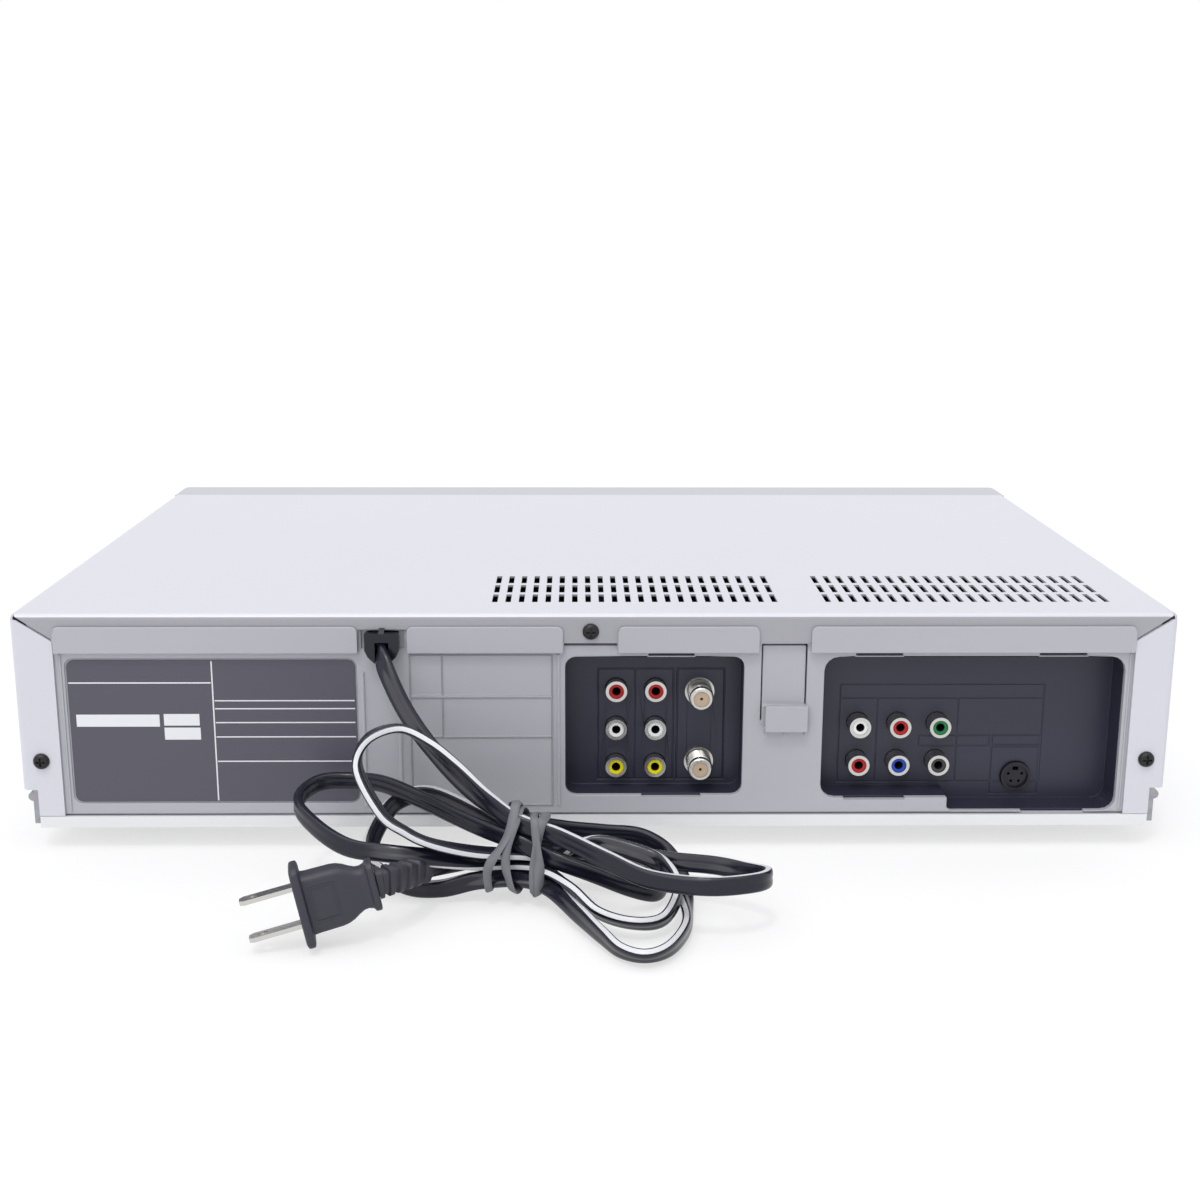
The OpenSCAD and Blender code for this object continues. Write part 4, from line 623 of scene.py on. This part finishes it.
# Moulded pieces, and widths in metres of the small round-overs on their edges
MOULDED = ["rear_panel", "front_bezel", "tray_front", "cassette_door", "vcr_jack_panel", "dvd_jack_panel",
           "cord_gland"]
EDGE_ROUND = 0.00022
WIDER_ROUND = {"rear_panel": 0.00034}
WELD_REACH = 0.00001
for name in MOULDED:
    weld = nodes[name].modifiers.new("weld", "WELD")
    weld.merge_threshold = WELD_REACH
    bevel = nodes[name].modifiers.new("bevel", "BEVEL")
    bevel.width = WIDER_ROUND.get(name, EDGE_ROUND)
    bevel.use_clamp_overlap = name not in WIDER_ROUND
    bevel.segments = 2
    bevel.limit_method = "ANGLE"
    bevel.angle_limit = radians(40)
    bevel.harden_normals = False


# ---------------------------------------------------------------- print
PRINT_THICK = 0.05          # how far a mark stands proud of its face
PRINT_ROOT = 0.1            # how far a sign reaches into the bezel


def print_piece(name, key, parts):
    """Thin print on the case, one piece of several marks."""
    piece = mesh_object(name, *joined(parts))
    dress(piece, key)


def label_bar(x0, z0, x1, z1):
    """Bar on the rating plate, with its face in the plane of the rear panel."""
    return box((x0, PANEL_Y - PRINT_THICK, z0), (x1, PANEL_Y, z1))


# Divider lines of the rating plate, then its three blank light boxes
label_marks = [label_bar(142.9, 65.2, 195.4, 65.7)]
label_marks += [label_bar(89.9, z, 141.8, z + 0.45) for z in (58.3, 55.2, 49.8, 44.2, 34.6)]
label_marks += [label_bar(142.1, 19.3, 142.6, 73.8)]
label_marks += [label_bar(162.6, 48.5, 193.4, 53.2), label_bar(147.8, 48.9, 161.0, 53.4),
                label_bar(147.6, 43.4, 161.0, 48.1)]
print_piece("label_lines", "print", label_marks)


ARROW_LONG, ARROW_TALL = 1.1, 1.2       # half sizes of a triangle


def arrow(x, z, way):
    """Small triangle that points left (-1) or right (1)."""
    tip, back = x + way * ARROW_LONG, x - way * ARROW_LONG
    return [(tip, z), (back, z + way * ARROW_TALL), (back, z - way * ARROW_TALL)]


def rect(x0, z0, x1, z1):
    return [(x0, z0), (x1, z0), (x1, z1), (x0, z1)]


def open_sign(x, z):
    """Triangle over a bar."""
    peak = [(x - 1.6, z - 0.2), (x + 1.6, z - 0.2), (x, z + 1.5)]
    return [peak, rect(x - 1.6, z - 1.3, x + 1.6, z - 0.7)]


# Plain signs at the buttons of the front: back, play, stop, on, and one for each of the two that open
SIGN_Z = 36.7
signs = [arrow(22.9, SIGN_Z, -1), arrow(25.1, SIGN_Z, -1), arrow(52, SIGN_Z, 1),
         rect(79, SIGN_Z - 1, 81, SIGN_Z + 1), arrow(106.9, SIGN_Z, 1), arrow(109.1, SIGN_Z, 1)]
signs += open_sign(-13.4, 77) + open_sign(-13.4, 62)
print_piece("front_marks", "grey_print",
            [prism(sign, FACE_Y - PRINT_THICK, FACE_Y + PRINT_ROOT) for sign in signs])


# ---------------------------------------------------------------- stage
FLOOR_SIDE, FLOOR_FRONT, FLOOR_REAR = 4, -6, 3      # where the floor ends, m
floor_mesh = bpy.data.meshes.new("floor")
floor_mesh.from_pydata([(-FLOOR_SIDE, FLOOR_FRONT, 0), (FLOOR_SIDE, FLOOR_FRONT, 0),
                        (FLOOR_SIDE, FLOOR_REAR, 0), (-FLOOR_SIDE, FLOOR_REAR, 0)], [], [(0, 1, 2, 3)])
floor = bpy.data.objects.new("floor", floor_mesh)
bpy.context.scene.collection.objects.link(floor)
floor.data.materials.append(LOOKS["floor"])


def sun(name, towards, power, angle):
    """Even light from one direction; the wider its angle in degrees, the softer its shadows."""
    data = bpy.data.lights.new(name, "SUN")
    data.energy = power
    data.angle = radians(angle)
    lamp = bpy.data.objects.new(name, data)
    bpy.context.scene.collection.objects.link(lamp)
    lamp.rotation_euler = (-Vector(towards)).to_track_quat("-Z", "Y").to_euler()


sun("overhead", (0.1, 0.1, 1.0), 1.08, 70)
sun("rear_key", (0.5, 1.0, 0.8), 0.58, 40)
sun("glint", (0.15, 0.45, 1.0), 0.55, 8)

# What lights the object is a little blue and dim, what is seen behind it is white
WORLD_LIGHT = (0.93, 0.95, 1.0, 1)
WORLD_STRENGTH = 0.55
world = bpy.data.worlds.new("studio")
bpy.context.scene.world = world
world.use_nodes = True
tree = world.node_tree
tree.nodes.clear()
out = tree.nodes.new("ShaderNodeOutputWorld")
dim = tree.nodes.new("ShaderNodeBackground")
dim.inputs["Color"].default_value = WORLD_LIGHT
dim.inputs["Strength"].default_value = WORLD_STRENGTH
bright = tree.nodes.new("ShaderNodeBackground")
bright.inputs["Color"].default_value = (1, 1, 1, 1)
bright.inputs["Strength"].default_value = 1.0
pick = tree.nodes.new("ShaderNodeMixShader")
tree.links.new(seen_or_mirrored(tree), pick.inputs["Fac"])
tree.links.new(dim.outputs[0], pick.inputs[1])
tree.links.new(bright.outputs[0], pick.inputs[2])
tree.links.new(pick.outputs[0], out.inputs["Surface"])

bpy.context.scene.view_settings.view_transform = "Standard"
